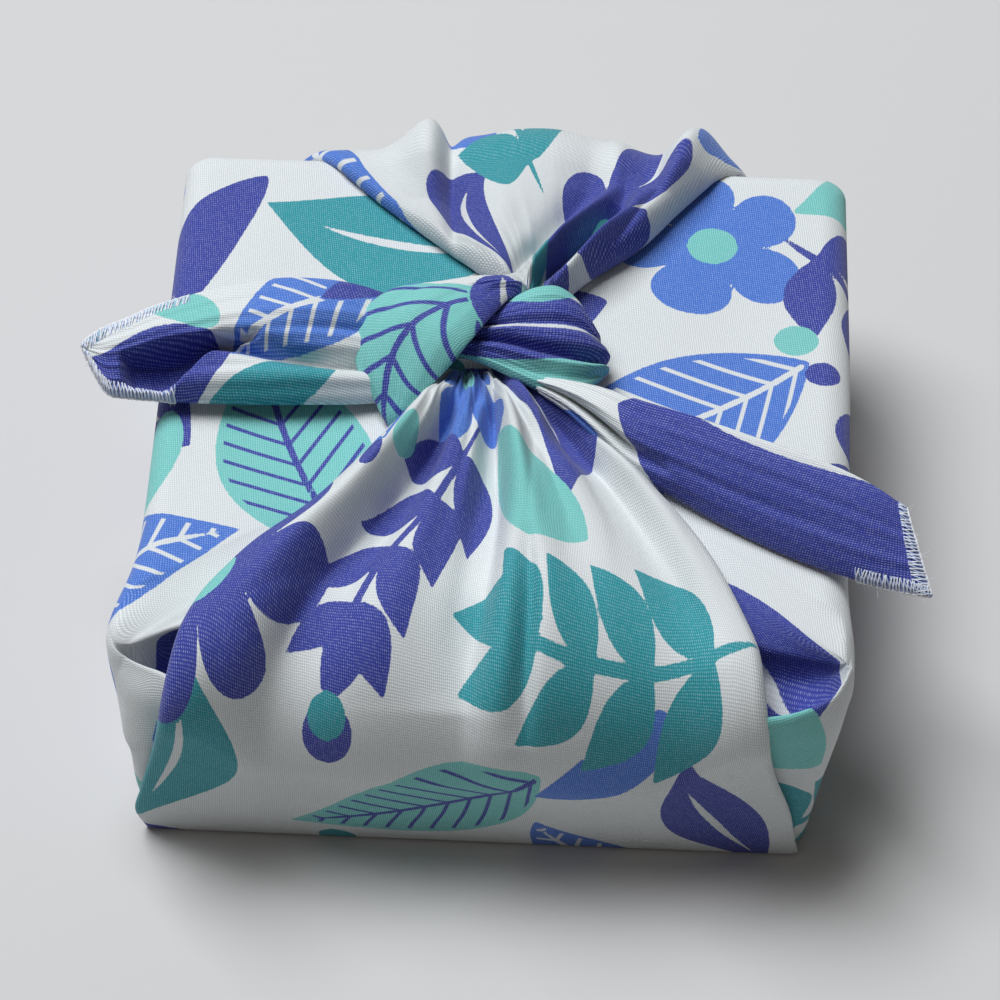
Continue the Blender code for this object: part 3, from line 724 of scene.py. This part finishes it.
fabric = {
    "columns": 210, "rollColumns": 12, "underColumns": 7, "under": 8.0, "roll": 1.5, "rollMore": 1.6,
    # fine gathers by the knot: waves, size, start, how far they reach
    "gathers": [(11, 0.55, 0.4, 26), (17, 0.40, 2.1, 20), (27, 0.25, 4.0, 15), (41, 0.14, 1.0, 12)],
    "gatherDrift": 0.03, "driftLength": 9, "calm": 0.35, "calmWave": (9.0, 1.3, 31), "calmCross": (17.0, 0.6),
    "calmFrom": (30, 60), "shoulder": 0.42, "shoulderReach": 2.2,
    "easeAcross": (5.0, 14.0), "easeAlong": (8.0, 24.0), "lowest": 0.55, "footThin": 0.6,
    "footFade": (112.0, 137.0), "brinkRoll": 0.7, "brink": (60, 80, 120), "towardsEdges": 0.45,
    "rollLength": 0.9, "bendWithin": (5.0, 26.0), "firstHalf": 10, "firstShare": 0.5,
    "furrowPower": 1.55, "crestPower": 2.0, "nearPower": 1.5,
}


# over the top and down the front (side -1) or the back (side 1); the last row ends just off the floor
def overBox(side, distance, lift, bend):
    flat = wrap["topHalf"] - bend
    turn = np.clip((distance - flat) / bend, 0.0, pi / 2)
    wall = (wrap["height"] - bend - wrap["footGap"]) / (distance[-1:] - flat[-1:] - bend[-1:] * pi / 2)
    down = np.maximum(distance - flat - bend * pi / 2, 0.0) * wall
    lean = (wrap["topHalf"] - wrap["footHalf"]) / (wrap["height"] - bend)
    y = np.minimum(distance, flat) + (bend + lift) * np.sin(turn) - lean * down
    z = wrap["height"] - bend + (bend + lift) * np.cos(turn) - down
    return side * y, z


def pleatLift(pleats, x, distance):
    lift = np.zeros_like(x)
    for name, lean, reach, *columns in pleats:
        held = np.clip(distance[:, 0], reach[0], reach[-1])
        crest, height, spread = readTable(list(zip(reach, *columns)), held).T[:, :, None]
        spread = np.where(x < crest, spread * lean, spread / lean)
        fade = 1 - smoothStep(distance, reach[-1], reach[-1] + wrap["pleatFade"])
        power = np.where(height < 0, fabric["furrowPower"], fabric["crestPower"])
        lift += height * fade * np.exp(-np.abs((x - crest) / spread) ** power)
    return lift


def faceLift(panel, x, distance, left, right, climb, near, footFade):
    share = (x - left) / (right - left)
    first = panel["first"]
    fold = pleatLift(panel["pleats"], x, distance)
    least = fabric["firstShare"]
    fold = fold * (least + (1 - least) * smoothStep(distance, first, first + fabric["firstHalf"]))
    past = np.maximum(distance - first, 0.0)
    fine = 0.0
    for waves, size, start, reach in fabric["gathers"]:
        swing = fabric["gatherDrift"] * waves * np.sin(past / fabric["driftLength"])
        ripple = np.sin(2 * pi * waves * share + start + swing)
        fine = fine + panel["fine"] * size * np.exp(-past / reach) * ripple
    wide, start, lean = fabric["calmWave"]
    long, later = fabric["calmCross"]
    calm = fabric["calm"] * np.sin(x / wide + start + distance / lean) * np.sin(distance / long + later)
    calm = calm * smoothStep(distance, *fabric["calmFrom"]) * (1 - footFade)
    ease = panel["rightEase"] * smoothStep(x, *fabric["easeAcross"])
    ease = 1 - ease * (1 - smoothStep(distance, *fabric["easeAlong"]))
    toEdge, reach = np.minimum(x - left, right - x), fabric["shoulderReach"]
    shoulder = 1 - fabric["shoulder"] * np.exp(-np.maximum(toEdge, 0) / (reach + reach * near))
    raised, lowest = climb * ease + fold + fine + calm, -wrap["foldHeight"] * fabric["lowest"]
    # a furrow comes to rest softly on the layer below
    held = (raised + lowest + np.hypot(raised - lowest, wrap["softStop"])) / 2
    return wrap["foldHeight"] * (1 - fabric["footThin"] * footFade) + shoulder * held


def buildPanel(name, panel):
    side = panel["side"]
    distances = steps(*panel["rows"])
    edges, distance = readTable(panel["edges"], distances), distances[:, None]
    left, right = edges[:, 0:1], edges[:, 1:2]
    climb = readTable(panel["climb"], distances)
    near = np.clip(climb / max(height for place, height in panel["climb"]), 0.0, 1.0) ** fabric["nearPower"]
    roll = fabric["roll"] + fabric["rollMore"] * near          # half width of the rolled edge
    start, most, end = fabric["brink"]
    swell = fabric["brinkRoll"] * smoothStep(distance, start, most)
    roll = roll + swell * (1 - smoothStep(distance, most, end))
    t = np.linspace(0, 1, fabric["columns"])
    t = t - fabric["towardsEdges"] * np.sin(2 * pi * t) / (2 * pi)
    theta = np.linspace(-pi / 2, pi / 2, fabric["rollColumns"])
    tuck = np.linspace(fabric["under"], 0.0, fabric["underColumns"])
    halfFlat = readTable(panels["widths"], distances) / 2
    rollLength = roll * pi * fabric["rollLength"]
    footFade = smoothStep(distance, *fabric["footFade"])

    def liftAt(x):
        return faceLift(panel, x, distance, left, right, climb, near, footFade)

    # each row runs from the turned left edge over its roll and the face to the turned right edge
    low = wrap["layerGap"]
    mainX = left + roll + (right - left - 2 * roll) * t
    rollLeftX = left + roll * (1 - np.cos(theta))
    rollRightX = right - roll * (1 - np.cos(theta[::-1]))
    rise = 0.5 + 0.5 * np.sin(theta)
    leftLift = low + (liftAt(rollLeftX) - low) * rise
    rightLift = low + (liftAt(rollRightX) - low) * rise[::-1]
    underLeft = left + roll + tuck
    underRight = right - roll - tuck[::-1]

    def joined(start, rolled, main, rolledBack, end):
        return np.concatenate([start, rolled[:, 1:], main[:, 1:-1], rolledBack[:, :-1], end], 1)

    x = joined(underLeft, rollLeftX, mainX, rollRightX, underRight)
    lift = joined(np.full_like(underLeft, low), leftLift, liftAt(mainX), rightLift,
                  np.full_like(underRight, low))
    turned = rollLength * (0.5 - theta / pi)
    turnedBack = rollLength * (0.5 - theta[::-1] / pi)
    u = joined(-halfFlat - rollLength - tuck, -halfFlat - turned, halfFlat * (2 * t - 1),
               halfFlat + turnedBack, halfFlat + rollLength + tuck[::-1])
    within = smoothStep(np.minimum(x - left, right - x), *fabric["bendWithin"])
    bend = panel["bend"] + (panel["middleBend"] - panel["bend"]) * within
    y, z = overBox(side, np.broadcast_to(distance, x.shape), lift, bend)
    where = np.stack([u, np.broadcast_to(side * distance, u.shape)], -1)
    return makeSheet(name, np.stack([x, y, z], -1), where, panel["print"], flip=side < 0)


# the knot and its free ends are bands that run from edge a to edge b over a crown, both edges turned
# under. A row holds edge a, edge b, crown, press; a hem its edge and where it starts and ends; a fold
# its name and the power of its section, then shares along, places across, heights and spreads.
knot = {
    "over": {
        "rows": [
            (1, 34.5, 72, 5.5, 27.7, 73, 1, 2), (-1.5, 29, 77, 3.9, 23.6, 78, 1.6, 3),
            (-8.4, 26.4, 79, 1, 20.5, 79.5, 2.6, 4), (-17.6, 25, 77.5, -2.2, 15.7, 80, 4.2, 5),
            (-27.4, 23.6, 76, -5.6, 10.3, 79.5, 5, 6), (-32.8, 19.6, 73.4, -8.2, 6.8, 78.5, 5.4, 6),
            (-34.8, 13.8, 70.8, -11.1, 3.7, 76, 5, 6), (-33.4, 7, 68.4, -14.6, 0.9, 73, 4, 5),
            (-29.4, 0.6, 65.5, -18.4, -1.8, 69.6, 3, 4), (-26.6, -3.9, 63.5, -21.3, -4.2, 66.5, 1.8, 3),
            (-24.3, -5.5, 60.5, -22.4, -5.6, 62, 0.8, 2),
        ],
        "edgeA": 1, "edgeB": 1.35, "under": 1.2, "columns": 150, "step": 0.5,
        "ripples": [(5, 0.06, 0.5, 4), (9, 0.03, 2, -3)],
        "folds": [
            ("lip crease", 1.7, (0.06, 0.16, 0.27), (0.6, 0.36, -0.02), (-1, -2.4, -0.8),
             (0.16, 0.09, 0.08)),
            ("lip roll", 2, (0.06, 0.15, 0.25), (0.98, 0.74, 0.3), (0.8, 2, 0.8), (0.22, 0.2, 0.16)),
            ("left hollow", 1.7, (0.3, 0.5, 0.75), (-0.55, -0.5, -0.35), (-0.3, -0.9, -0.3),
             (0.2, 0.16, 0.14)),
            ("soft dent", 1.7, (0.35, 0.6, 0.85), (0.25, 0.3, 0.2), (-0.2, -0.7, -0.3), (0.25, 0.22, 0.2)),
        ],
        "print": {"own": [
            motif("leaf", "mint", (1, 52), (76, 44), 100, bend=0.04, veins=8),
            motif("leaf", "indigo", (10, 18), (34, 13), 38, rib=0.7),
            motif("berry", "royal", (-13, 22), (10, 8), 20),
        ]},
    },
    "cross": {
        "rows": [
            (-13, 15, 70, -16, 11, 68, 1.5, 3), (-7.5, 18, 73, -10, 9.5, 71, 2.2, 4),
            (-2.4, 20.6, 76, -4.2, 7.2, 71.5, 3.2, 5), (3, 23.4, 77.5, 2, 4.6, 70.5, 4.2, 5),
            (7.9, 25.6, 78, 8.8, 1.6, 69.4, 4.8, 6), (12.5, 26.4, 77, 14.8, 1.2, 68.2, 4.8, 6),
            (16.4, 24.6, 74, 19.4, 3.4, 67, 4.2, 5), (19.2, 21, 70, 21.8, 7, 66, 3.2, 4),
            (19.6, 18.5, 65, 21, 9.5, 62.5, 2.2, 3),
        ],
        "edgeA": 1, "edgeB": 1, "under": 1.2, "columns": 170, "step": 0.45,
        "ripples": [(11, 0.12, 0.3, 3), (23, 0.06, 1, -2)],
        "folds": [
            ("first furrow", 1.7, (0.16, 0.45, 0.9), (-0.34, -0.22, -0.3), (-1.2, -2.4, -0.9),
             (0.15, 0.11, 0.14)),
            ("second furrow", 1.7, (0.16, 0.5, 1), (0.22, 0.3, 0.42), (-1.4, -3, -2.6), (0.14, 0.09, 0.1)),
            ("low crease", 1.7, (0.42, 0.66, 0.92), (0.78, 0.7, 0.74), (-0.4, -1.5, -1),
             (0.09, 0.07, 0.08)),
            ("top crease", 1.7, (0.46, 0.62, 0.8), (-0.7, -0.66, -0.74), (-0.2, -0.8, -0.2),
             (0.12, 0.1, 0.12)),
            ("middle lobe", 2, (0.2, 0.55, 0.95), (-0.06, 0.04, 0.1), (0.6, 1.4, 1), (0.18, 0.18, 0.2)),
            ("low lobe", 2, (0.2, 0.6, 1), (0.46, 0.5, 0.62), (0.8, 1.6, 1.4), (0.16, 0.14, 0.14)),
        ],
        "print": {"own": [
            motif("petal", "mint", (9, 26), (60, 22), 86),
            motif("leaf", "indigo", (-2, 26), (56, 18), 94, rib=0.8),
            motif("leaf", "mint", (-14, 24), (40, 12), 98),
        ]},
    },
    "leftEnd": {
        "rows": [
            (-12, 22, 66, -14, 5, 63, 2, 2), (-23, 26.6, 69, -23.3, 2, 63.6, 2.8, 2),
            (-33, 27.4, 73.4, -30.6, -0.4, 64.8, 4.8, 3), (-48, 27.5, 75.6, -43.8, -2, 65.6, 6, 3),
            (-57.7, 26.6, 75.2, -55.3, -2.6, 65.6, 5.6, 3), (-66.4, 24.5, 74.8, -65.7, -2.8, 65.6, 5.2, 3),
            (-74.4, 21.6, 74.3, -72.6, -3, 65.8, 4.8, 3), (-82.4, 18, 73.9, -79.5, -2.7, 66, 4.2, 3),
            (-87.9, 14.6, 73.6, -86, -2.4, 66.3, 3.4, 2.4), (-92.5, 12.2, 73.2, -91.2, -1.4, 67, 2.4, 1.6),
            (-95.5, 9.9, 72.6, -94.6, 3, 69.2, 1.4, 1), (-97.5, 8.2, 72, -97.2, 7.3, 71.4, 0.4, 0.5),
        ],
        "edgeA": 0.95, "edgeB": 1, "under": 1.15, "columns": 190, "step": 0.5, "openFrom": (0.66, 0.8),
        "ripples": [(6, 0.16, 0.5, 3), (11, 0.1, 2, -3)],
        "hems": [("a", 0.7, 1), ("b", 0.74, 1)],
        "folds": [
            ("crease", 1.7, (0.1, 0.42, 0.6), (0.42, 0.34, 0.08), (-4.6, -6.4, -6), (0.12, 0.12, 0.12)),
            ("hollow", 6, (0.56, 0.66, 0.76, 0.845), (0, 0.1, 0.36, 0.36), (-5, -9, -11, -8),
             (0.06, 0.16, 0.42, 0.4)),
            ("upper crest", 2, (0.1, 0.5, 0.9), (-0.3, -0.25, -0.35), (1, 2.4, 1), (0.34, 0.34, 0.3)),
            ("lower crest", 2, (0.14, 0.45, 0.74), (0.72, 0.7, 0.72), (0.8, 2.2, 2.4), (0.2, 0.2, 0.2)),
            ("upper dent", 1.7, (0.14, 0.3, 0.46), (-0.05, -0.08, -0.05), (-0.6, -1.6, -0.6),
             (0.16, 0.14, 0.16)),
        ],
        "print": {"own": [
            motif("leaf", "royal", (-4, 34), (40, 22), 66, bend=0.06, veins=6),
            motif("petal", "mint", (-9, 64), (24, 13), 120, bend=0.06),
            motif("leaf", "indigo", (5, 72), (44, 23), 84, bend=-0.05),
            motif("berry", "teal", (-7, 84), (9, 8), 10),
            motif("leaf", "teal", (12, 42), (30, 11), 78),
            motif("petal", "indigo", (-14, 20), (22, 12), 60),
        ]},
    },
    "rightEnd": {
        "rows": [
            (8, 5, 70.5, 9, 1, 69, 1.5, 2), (15, 2.2, 73, 15.2, -4.4, 69.4, 3, 2),
            (22.4, -0.6, 74.6, 21, -10, 68.2, 4.2, 2.4), (32.1, -5.1, 75.8, 30, -17.4, 65.2, 5, 2.4),
            (45.9, -10.8, 77.1, 42, -24.8, 64.2, 5.2, 2.2), (57.3, -15.6, 77.6, 53.5, -32, 63.8, 5.2, 2),
            (68.6, -20.3, 78, 64.9, -38, 63.6, 5, 1.8), (79.8, -25.5, 77.9, 76.1, -43, 64, 4.4, 1.6),
            (87, -29.5, 77, 87.5, -47.4, 65, 3.2, 1.4), (92.4, -32.7, 75.4, 98.6, -51, 67, 1.2, 0.8),
        ],
        "edgeA": 0.55, "edgeB": 1.5, "under": 1.15, "columns": 160, "step": 0.55, "openFrom": (0.82, 0.92),
        "ripples": [(4, 0.12, 0.5, 3), (7, 0.08, 2, -3)],
        "hems": [("end", 0, 1), ("b", 0.86, 1)],
        "ledge": {"height": 2.2, "along": (0.22, 0.34, 0.56, 0.8, 0.95),
                  "across": (-0.99, -0.86, -0.74, -0.82, -0.97)},
        "folds": [
            ("root crease", 1.7, (0.03, 0.16, 0.36), (-0.05, 0.16, 0.4), (-1.6, -5, -1.4),
             (0.16, 0.12, 0.18)),
            ("root ridge", 2, (0.03, 0.16, 0.34), (-0.45, -0.3, -0.15), (0.8, 1.3, 0.4), (0.22, 0.2, 0.3)),
            ("second crease", 1.7, (0.03, 0.14, 0.26), (0.62, 0.66, 0.74), (-0.8, -1.3, -0.3),
             (0.1, 0.09, 0.12)),
            ("long dip", 1.7, (0.36, 0.62, 0.92), (0.3, 0.2, 0.1), (-0.3, -0.9, -0.3), (0.4, 0.4, 0.4)),
        ],
        "print": {"own": [
            motif("leaf", "indigo", (3, 80), (116, 50), 82, bend=0.02),
            motif("leaf", "royal", (8, 16), (22, 9), 70),
            motif("leaf", "ground", (-12.9, 62), (84, 8), 90),
        ]},
    },
}


strip = {
    "beneath": 0.22, "open": 0.93, "ahead": 0.6, "fadeIn": 0.07, "fadeOut": 0.05,
    "ledgeEdge": (-0.035, 0.015), "ledgeFrom": (-1.0, -0.85),
}


# a band's rows with their distance along it first, and its length
def bandRows(band):
    middles = [np.add(row[0:3], row[3:6]) / 2 for row in band["rows"]]
    runs = [np.linalg.norm(two - one) for one, two in zip(middles, middles[1:])]
    keys = np.concatenate([[0.0], np.cumsum(runs)])
    return [(key, *row) for key, row in zip(keys, band["rows"])], keys[-1]


# points of a band at shares of its length and angles over it: 0 at edge b, pi at edge a, past them
# underneath; then its width there, its length, and the way up
def bandPoints(band, shares, angles):
    table, length = bandRows(band)
    at = shares[:, 0] * length
    values = readTable(table, at)
    a, b = values[:, 0:3], values[:, 3:6]
    crown, press = values[:, 6:7], values[:, 7:8]
    ahead = readTable(table, np.minimum(at + strip["ahead"], length))
    behind = readTable(table, np.maximum(at - strip["ahead"], 0.0))
    run = (ahead[:, 0:3] + ahead[:, 3:6] - behind[:, 0:3] - behind[:, 3:6]) / 2
    high = np.cross(b - a, run)
    high /= np.linalg.norm(high, axis=1)[:, None]
    high *= np.sign(high[:, 2].sum())
    across = np.cos(angles)
    rise = np.sin(angles)
    sharp = band["edgeA"] + (band["edgeB"] - band["edgeA"]) * (across + 1) / 2
    lift = np.where(rise >= 0, crown, press) * np.sign(rise) * np.abs(rise) ** sharp
    over = np.clip(rise, 0.0, 1.0) ** 0.5
    folds = np.zeros_like(lift)
    for name, power, along, *columns in band["folds"]:
        held = np.clip(shares[:, 0], along[0], along[-1])
        crest, height, spread = readTable(list(zip(along, *columns)), held).T[:, :, None]
        fade = smoothStep(shares, along[0] - strip["fadeIn"], along[0])
        fade = fade * (1 - smoothStep(shares, along[-1], along[-1] + strip["fadeOut"]))
        folds += height * fade * np.exp(-np.abs((across - crest) / spread) ** power)
    for waves, size, start, twist in band["ripples"]:
        folds += size * np.sin(waves * pi * across + start + twist * shares)
    lift = lift + folds * over
    if "ledge" in band:
        along = band["ledge"]["along"]
        held = np.clip(shares[:, 0], along[0], along[-1])
        brink = readTable(list(zip(along, band["ledge"]["across"])), held)
        beyond = 1 - smoothStep(across - brink, *strip["ledgeEdge"])
        beyond = beyond * smoothStep(brink, *strip["ledgeFrom"])
        lift -= band["ledge"]["height"] * over * beyond
    points = (a + b)[:, None] / 2 + (b - a)[:, None] / 2 * across[..., None]
    points = points + high[:, None] * lift[..., None]
    return points, np.linalg.norm(b - a, axis=1)[:, None], length, high


# distance in from a hemmed edge, for the paler strip under the stitches
def hemDistance(leg, shares, across, width, length):
    edge, start, end = leg
    if edge == "end":
        return (1 - shares) * length + 0 * across
    side = 1 + across if edge == "a" else 1 - across
    return np.where(shares > start, side * width / 2, noHem)


def buildBand(name, band):
    length = bandRows(band)[1]
    shares = np.linspace(0, 1, round(length / band["step"]) + 1)[:, None]
    columns, under = band["columns"], band["under"]
    beneath = round(columns * strip["beneath"])
    turned = np.concatenate([pi + np.linspace(under, 0, beneath)[:-1], np.linspace(pi, 0, columns),
                             -np.linspace(0, under, beneath)[1:]])[None, :]
    angles = np.broadcast_to(turned, (len(shares), turned.shape[1])).copy()
    if "openFrom" in band:                    # towards the tip the edges are hems, with little turned under
        kept = 1 - strip["open"] * smoothStep(shares, *band["openFrom"])
        past = np.maximum(angles - pi, 0.0) + np.minimum(angles, 0.0)
        angles = np.clip(angles, 0.0, pi) + past * kept
    points, width, length, high = bandPoints(band, shares, angles)
    across = np.cos(angles)
    u = np.where(angles > pi, -2 - across, np.where(angles < 0, 2 - across, across)) * width / 2
    v = np.broadcast_to(shares * length, u.shape)
    hem = np.full(u.shape, noHem)
    for leg in band.get("hems", []):
        hem = np.minimum(hem, hemDistance(leg, shares, across, width, length))
    return makeSheet(name, points, np.stack([u, v], -1), band["print"], band=hem)


hemming = {
    "pitch": 0.84, "bite": 2.9, "thread": 0.17, "chain": 0.27, "slant": 0.9, "proud": 0.42,
    "across": (0.0, 0.22, 0.5, 0.8, 1.0),            # the strands' points, as shares of the bite
    "whiskers": 38, "whiskerLength": 1.9, "whisker": 0.035, "waver": 0.55, "seed": 11, "points": 400,
    "jitter": 0.4, "slants": (0.65, 0.7), "blueLean": 0.45, "blueBack": -0.7, "blueThread": 0.9,
    "proudOut": 0.15, "foot": (0.45, 0.1), "brink": 0.25, "easing": 0.8, "tail": 0.05,
    "zigzag": 0.16, "chainOut": 0.12, "hairBend": 0.5, "hairRise": 0.2, "hairPower": 1.6,
}


def threadMesh(name, paths, radius):
    curve = bpy.data.curves.new(name, "CURVE")
    curve.dimensions = "3D"
    curve.bevel_depth = radius * mm
    curve.bevel_resolution = 1
    curve.use_fill_caps = True
    for path in paths:
        spline = curve.splines.new("POLY")
        spline.points.add(len(path) - 1)
        spots = np.concatenate([np.array(path) * mm, np.ones((len(path), 1))], 1)
        spline.points.foreach_set("co", spots.ravel())
    holder = bpy.data.objects.new(name, curve)
    mesh = bpy.data.meshes.new_from_object(holder)
    bpy.data.objects.remove(holder)
    return mesh


# lines along a hemmed edge at shares of the bite, from the very edge inwards
def hemLines(band, leg):
    edge, start, end = leg
    fine = np.linspace(0, 1, hemming["points"])[:, None]
    length, lines = bandRows(band)[1], []
    for part in hemming["across"]:
        if edge == "end":
            shares, angles = np.full_like(fine, 1 - part * hemming["bite"] / length), pi * (1 - fine)
        else:
            shares = start + (end - start) * fine
            width = bandPoints(band, shares, np.zeros_like(fine))[1]
            turn = np.arccos(np.clip(1 - 2 * part * hemming["bite"] / width, 0.1, 1.0))
            angles = np.abs((pi if edge == "a" else 0.0) - turn)
        line, width, length, high = bandPoints(band, shares, angles)
        lines.append(line[:, 0])
    return lines, high


# overlock stitches along the hemmed edges of a band: slanted strands over a chain at the very edge
def buildHem(name, band):
    strands, blue, chains, hairs = [], [], [], []
    wild = np.random.default_rng(hemming["seed"])
    slantFrom, slantMore = hemming["slants"]
    under, beyond = hemming["foot"]
    ways = ((0.0, 1.0, strands), (hemming["pitch"] * hemming["blueLean"], hemming["blueBack"], blue))
    for leg in band["hems"]:
        lines, high = hemLines(band, leg)
        run = np.concatenate([[0.0], np.cumsum(np.linalg.norm(np.diff(lines[0], axis=0), axis=1))])
        count = max(4, round(run[-1] / hemming["pitch"]))

        def read(line, at):
            return np.array([np.interp(at, run, line[:, i]) for i in range(3)])

        def edgeAt(at):
            up = read(np.broadcast_to(high, lines[0].shape), at)
            foot = read(lines[0], at)
            out = foot - read(lines[-1], at)
            return up, foot, out / max(np.linalg.norm(out), 0.001)

        chain = []
        for stitch in range(count):
            at = (stitch + hemming["jitter"] * wild.random()) * run[-1] / count
            slant = hemming["slant"] * (slantFrom + slantMore * wild.random())
            up, foot, out = edgeAt(at)
            lift = up * hemming["proud"] + out * hemming["proudOut"]
            for lean, back, kept in ways:
                spots = [read(line, min(at + lean + back * slant * part, run[-1]))
                         for line, part in zip(lines, hemming["across"])]
                kept.append([spots[0] - up * under + out * beyond, spots[0] + out * hemming["brink"],
                             spots[1] + lift, spots[2] + lift, spots[3] + lift * hemming["easing"],
                             spots[4] - up * hemming["tail"]])
            side = hemming["zigzag"] * (-1) ** stitch
            chain.append(foot + out * (hemming["chainOut"] + abs(side)) + up * side)
        chains.append(chain)
        for hair in range(hemming["whiskers"]):
            up, foot, out = edgeAt(wild.random() * run[-1])
            drift = wild.normal(0, hemming["waver"], 3)
            reach = hemming["whiskerLength"] * wild.random() ** hemming["hairPower"]
            bent = out + drift * hemming["hairBend"] + up * hemming["hairRise"]
            middle = foot + bent * reach * 0.5
            hairs.append([foot, middle, foot + (out + drift) * reach])
    sewn = bmesh.new()
    for paths, radius, thread in ((strands, hemming["thread"], 0),
                                  (blue, hemming["thread"] * hemming["blueThread"], 1),
                                  (chains, hemming["chain"], 0), (hairs, hemming["whisker"], 0)):
        mesh = threadMesh(name, paths, radius)
        before = len(sewn.faces)
        sewn.from_mesh(mesh)
        sewn.faces.ensure_lookup_table()
        for face in sewn.faces[before:]:
            face.material_index = thread
            face.smooth = True
        bpy.data.meshes.remove(mesh)
    mesh = meshOf(name, sewn)
    for material in threads:
        mesh.materials.append(material)
    return standIn(putObject(name, mesh))


for name, hand, side in (("wrapLeft", -1, "left"), ("wrapRight", 1, "right")):
    half = buildHalf(name, hand, body[side + "Pocket"], body[side + "Print"])
    dress(half)
dress(buildPanel("frontPanel", panels["front"]))
dress(buildPanel("backPanel", panels["back"]))
dress(buildBand("overStrand", knot["over"]))
dress(buildBand("crossStrand", knot["cross"]))
hem = buildHem("leftHem", knot["leftEnd"])
dress(buildBand("leftEnd", knot["leftEnd"]))
hem = buildHem("rightHem", knot["rightEnd"])
dress(buildBand("rightEnd", knot["rightEnd"]))


studio = {
    "floor": (0.575, 0.575, 0.58), "floorRoughness": 0.9, "floorHalf": 3.0,
    "aim": (0.0, -1.8, 32.0), "azimuth": 2.8, "elevation": 52.5, "distance": 1024.0,
    "lens": 155.9, "sensor": 36.0, "clip": (0.05, 20.0),
    "window": {"at": (-800, 680, 2560), "to": (0, 0, 30), "size": (1550, 1550), "power": 91.0,
               "colour": (0.97, 0.985, 1.0)},
    "sky": (1.0, 0.935, 0.855), "skyPower": 0.120,
}


def buildStudio():
    surface = bmesh.new()
    bmesh.ops.create_grid(surface, x_segments=1, y_segments=1, size=studio["floorHalf"])
    floor = putObject("floor", meshOf("floor", surface))
    floor.data.materials.append(newMaterial("paper", studio["floor"], studio["floorRoughness"])[0])
    window = studio["window"]
    data = bpy.data.lights.new("window", "AREA")
    data.shape = "RECTANGLE"
    data.size, data.size_y = (side * mm for side in window["size"])
    data.energy = window["power"]
    data.color = window["colour"]
    light = putObject("window", data)
    light.location = Vector(window["at"]) * mm
    light.rotation_euler = (Vector(window["to"]) * mm - light.location).to_track_quat("-Z", "Y").to_euler()
    world = bpy.data.worlds.new("studio")
    world.use_nodes = True
    sky = world.node_tree.nodes["Background"]
    sky.inputs["Color"].default_value = (*studio["sky"], 1.0)
    sky.inputs["Strength"].default_value = studio["skyPower"]
    bpy.context.scene.world = world
    camera = putObject("camera", bpy.data.cameras.new("camera"))
    camera.data.lens = studio["lens"]
    camera.data.sensor_width = studio["sensor"]
    azimuth, elevation = radians(studio["azimuth"]), radians(studio["elevation"])
    back = Vector((sin(azimuth) * cos(elevation), -cos(azimuth) * cos(elevation), sin(elevation)))
    camera.location = (Vector(studio["aim"]) + back * studio["distance"]) * mm
    camera.rotation_euler = (-back).to_track_quat("-Z", "Y").to_euler()
    camera.data.clip_start, camera.data.clip_end = studio["clip"]
    bpy.context.scene.camera = camera
    bpy.context.scene.view_settings.view_transform = "Standard"
    print("made the floor, the light and the camera")


buildStudio()
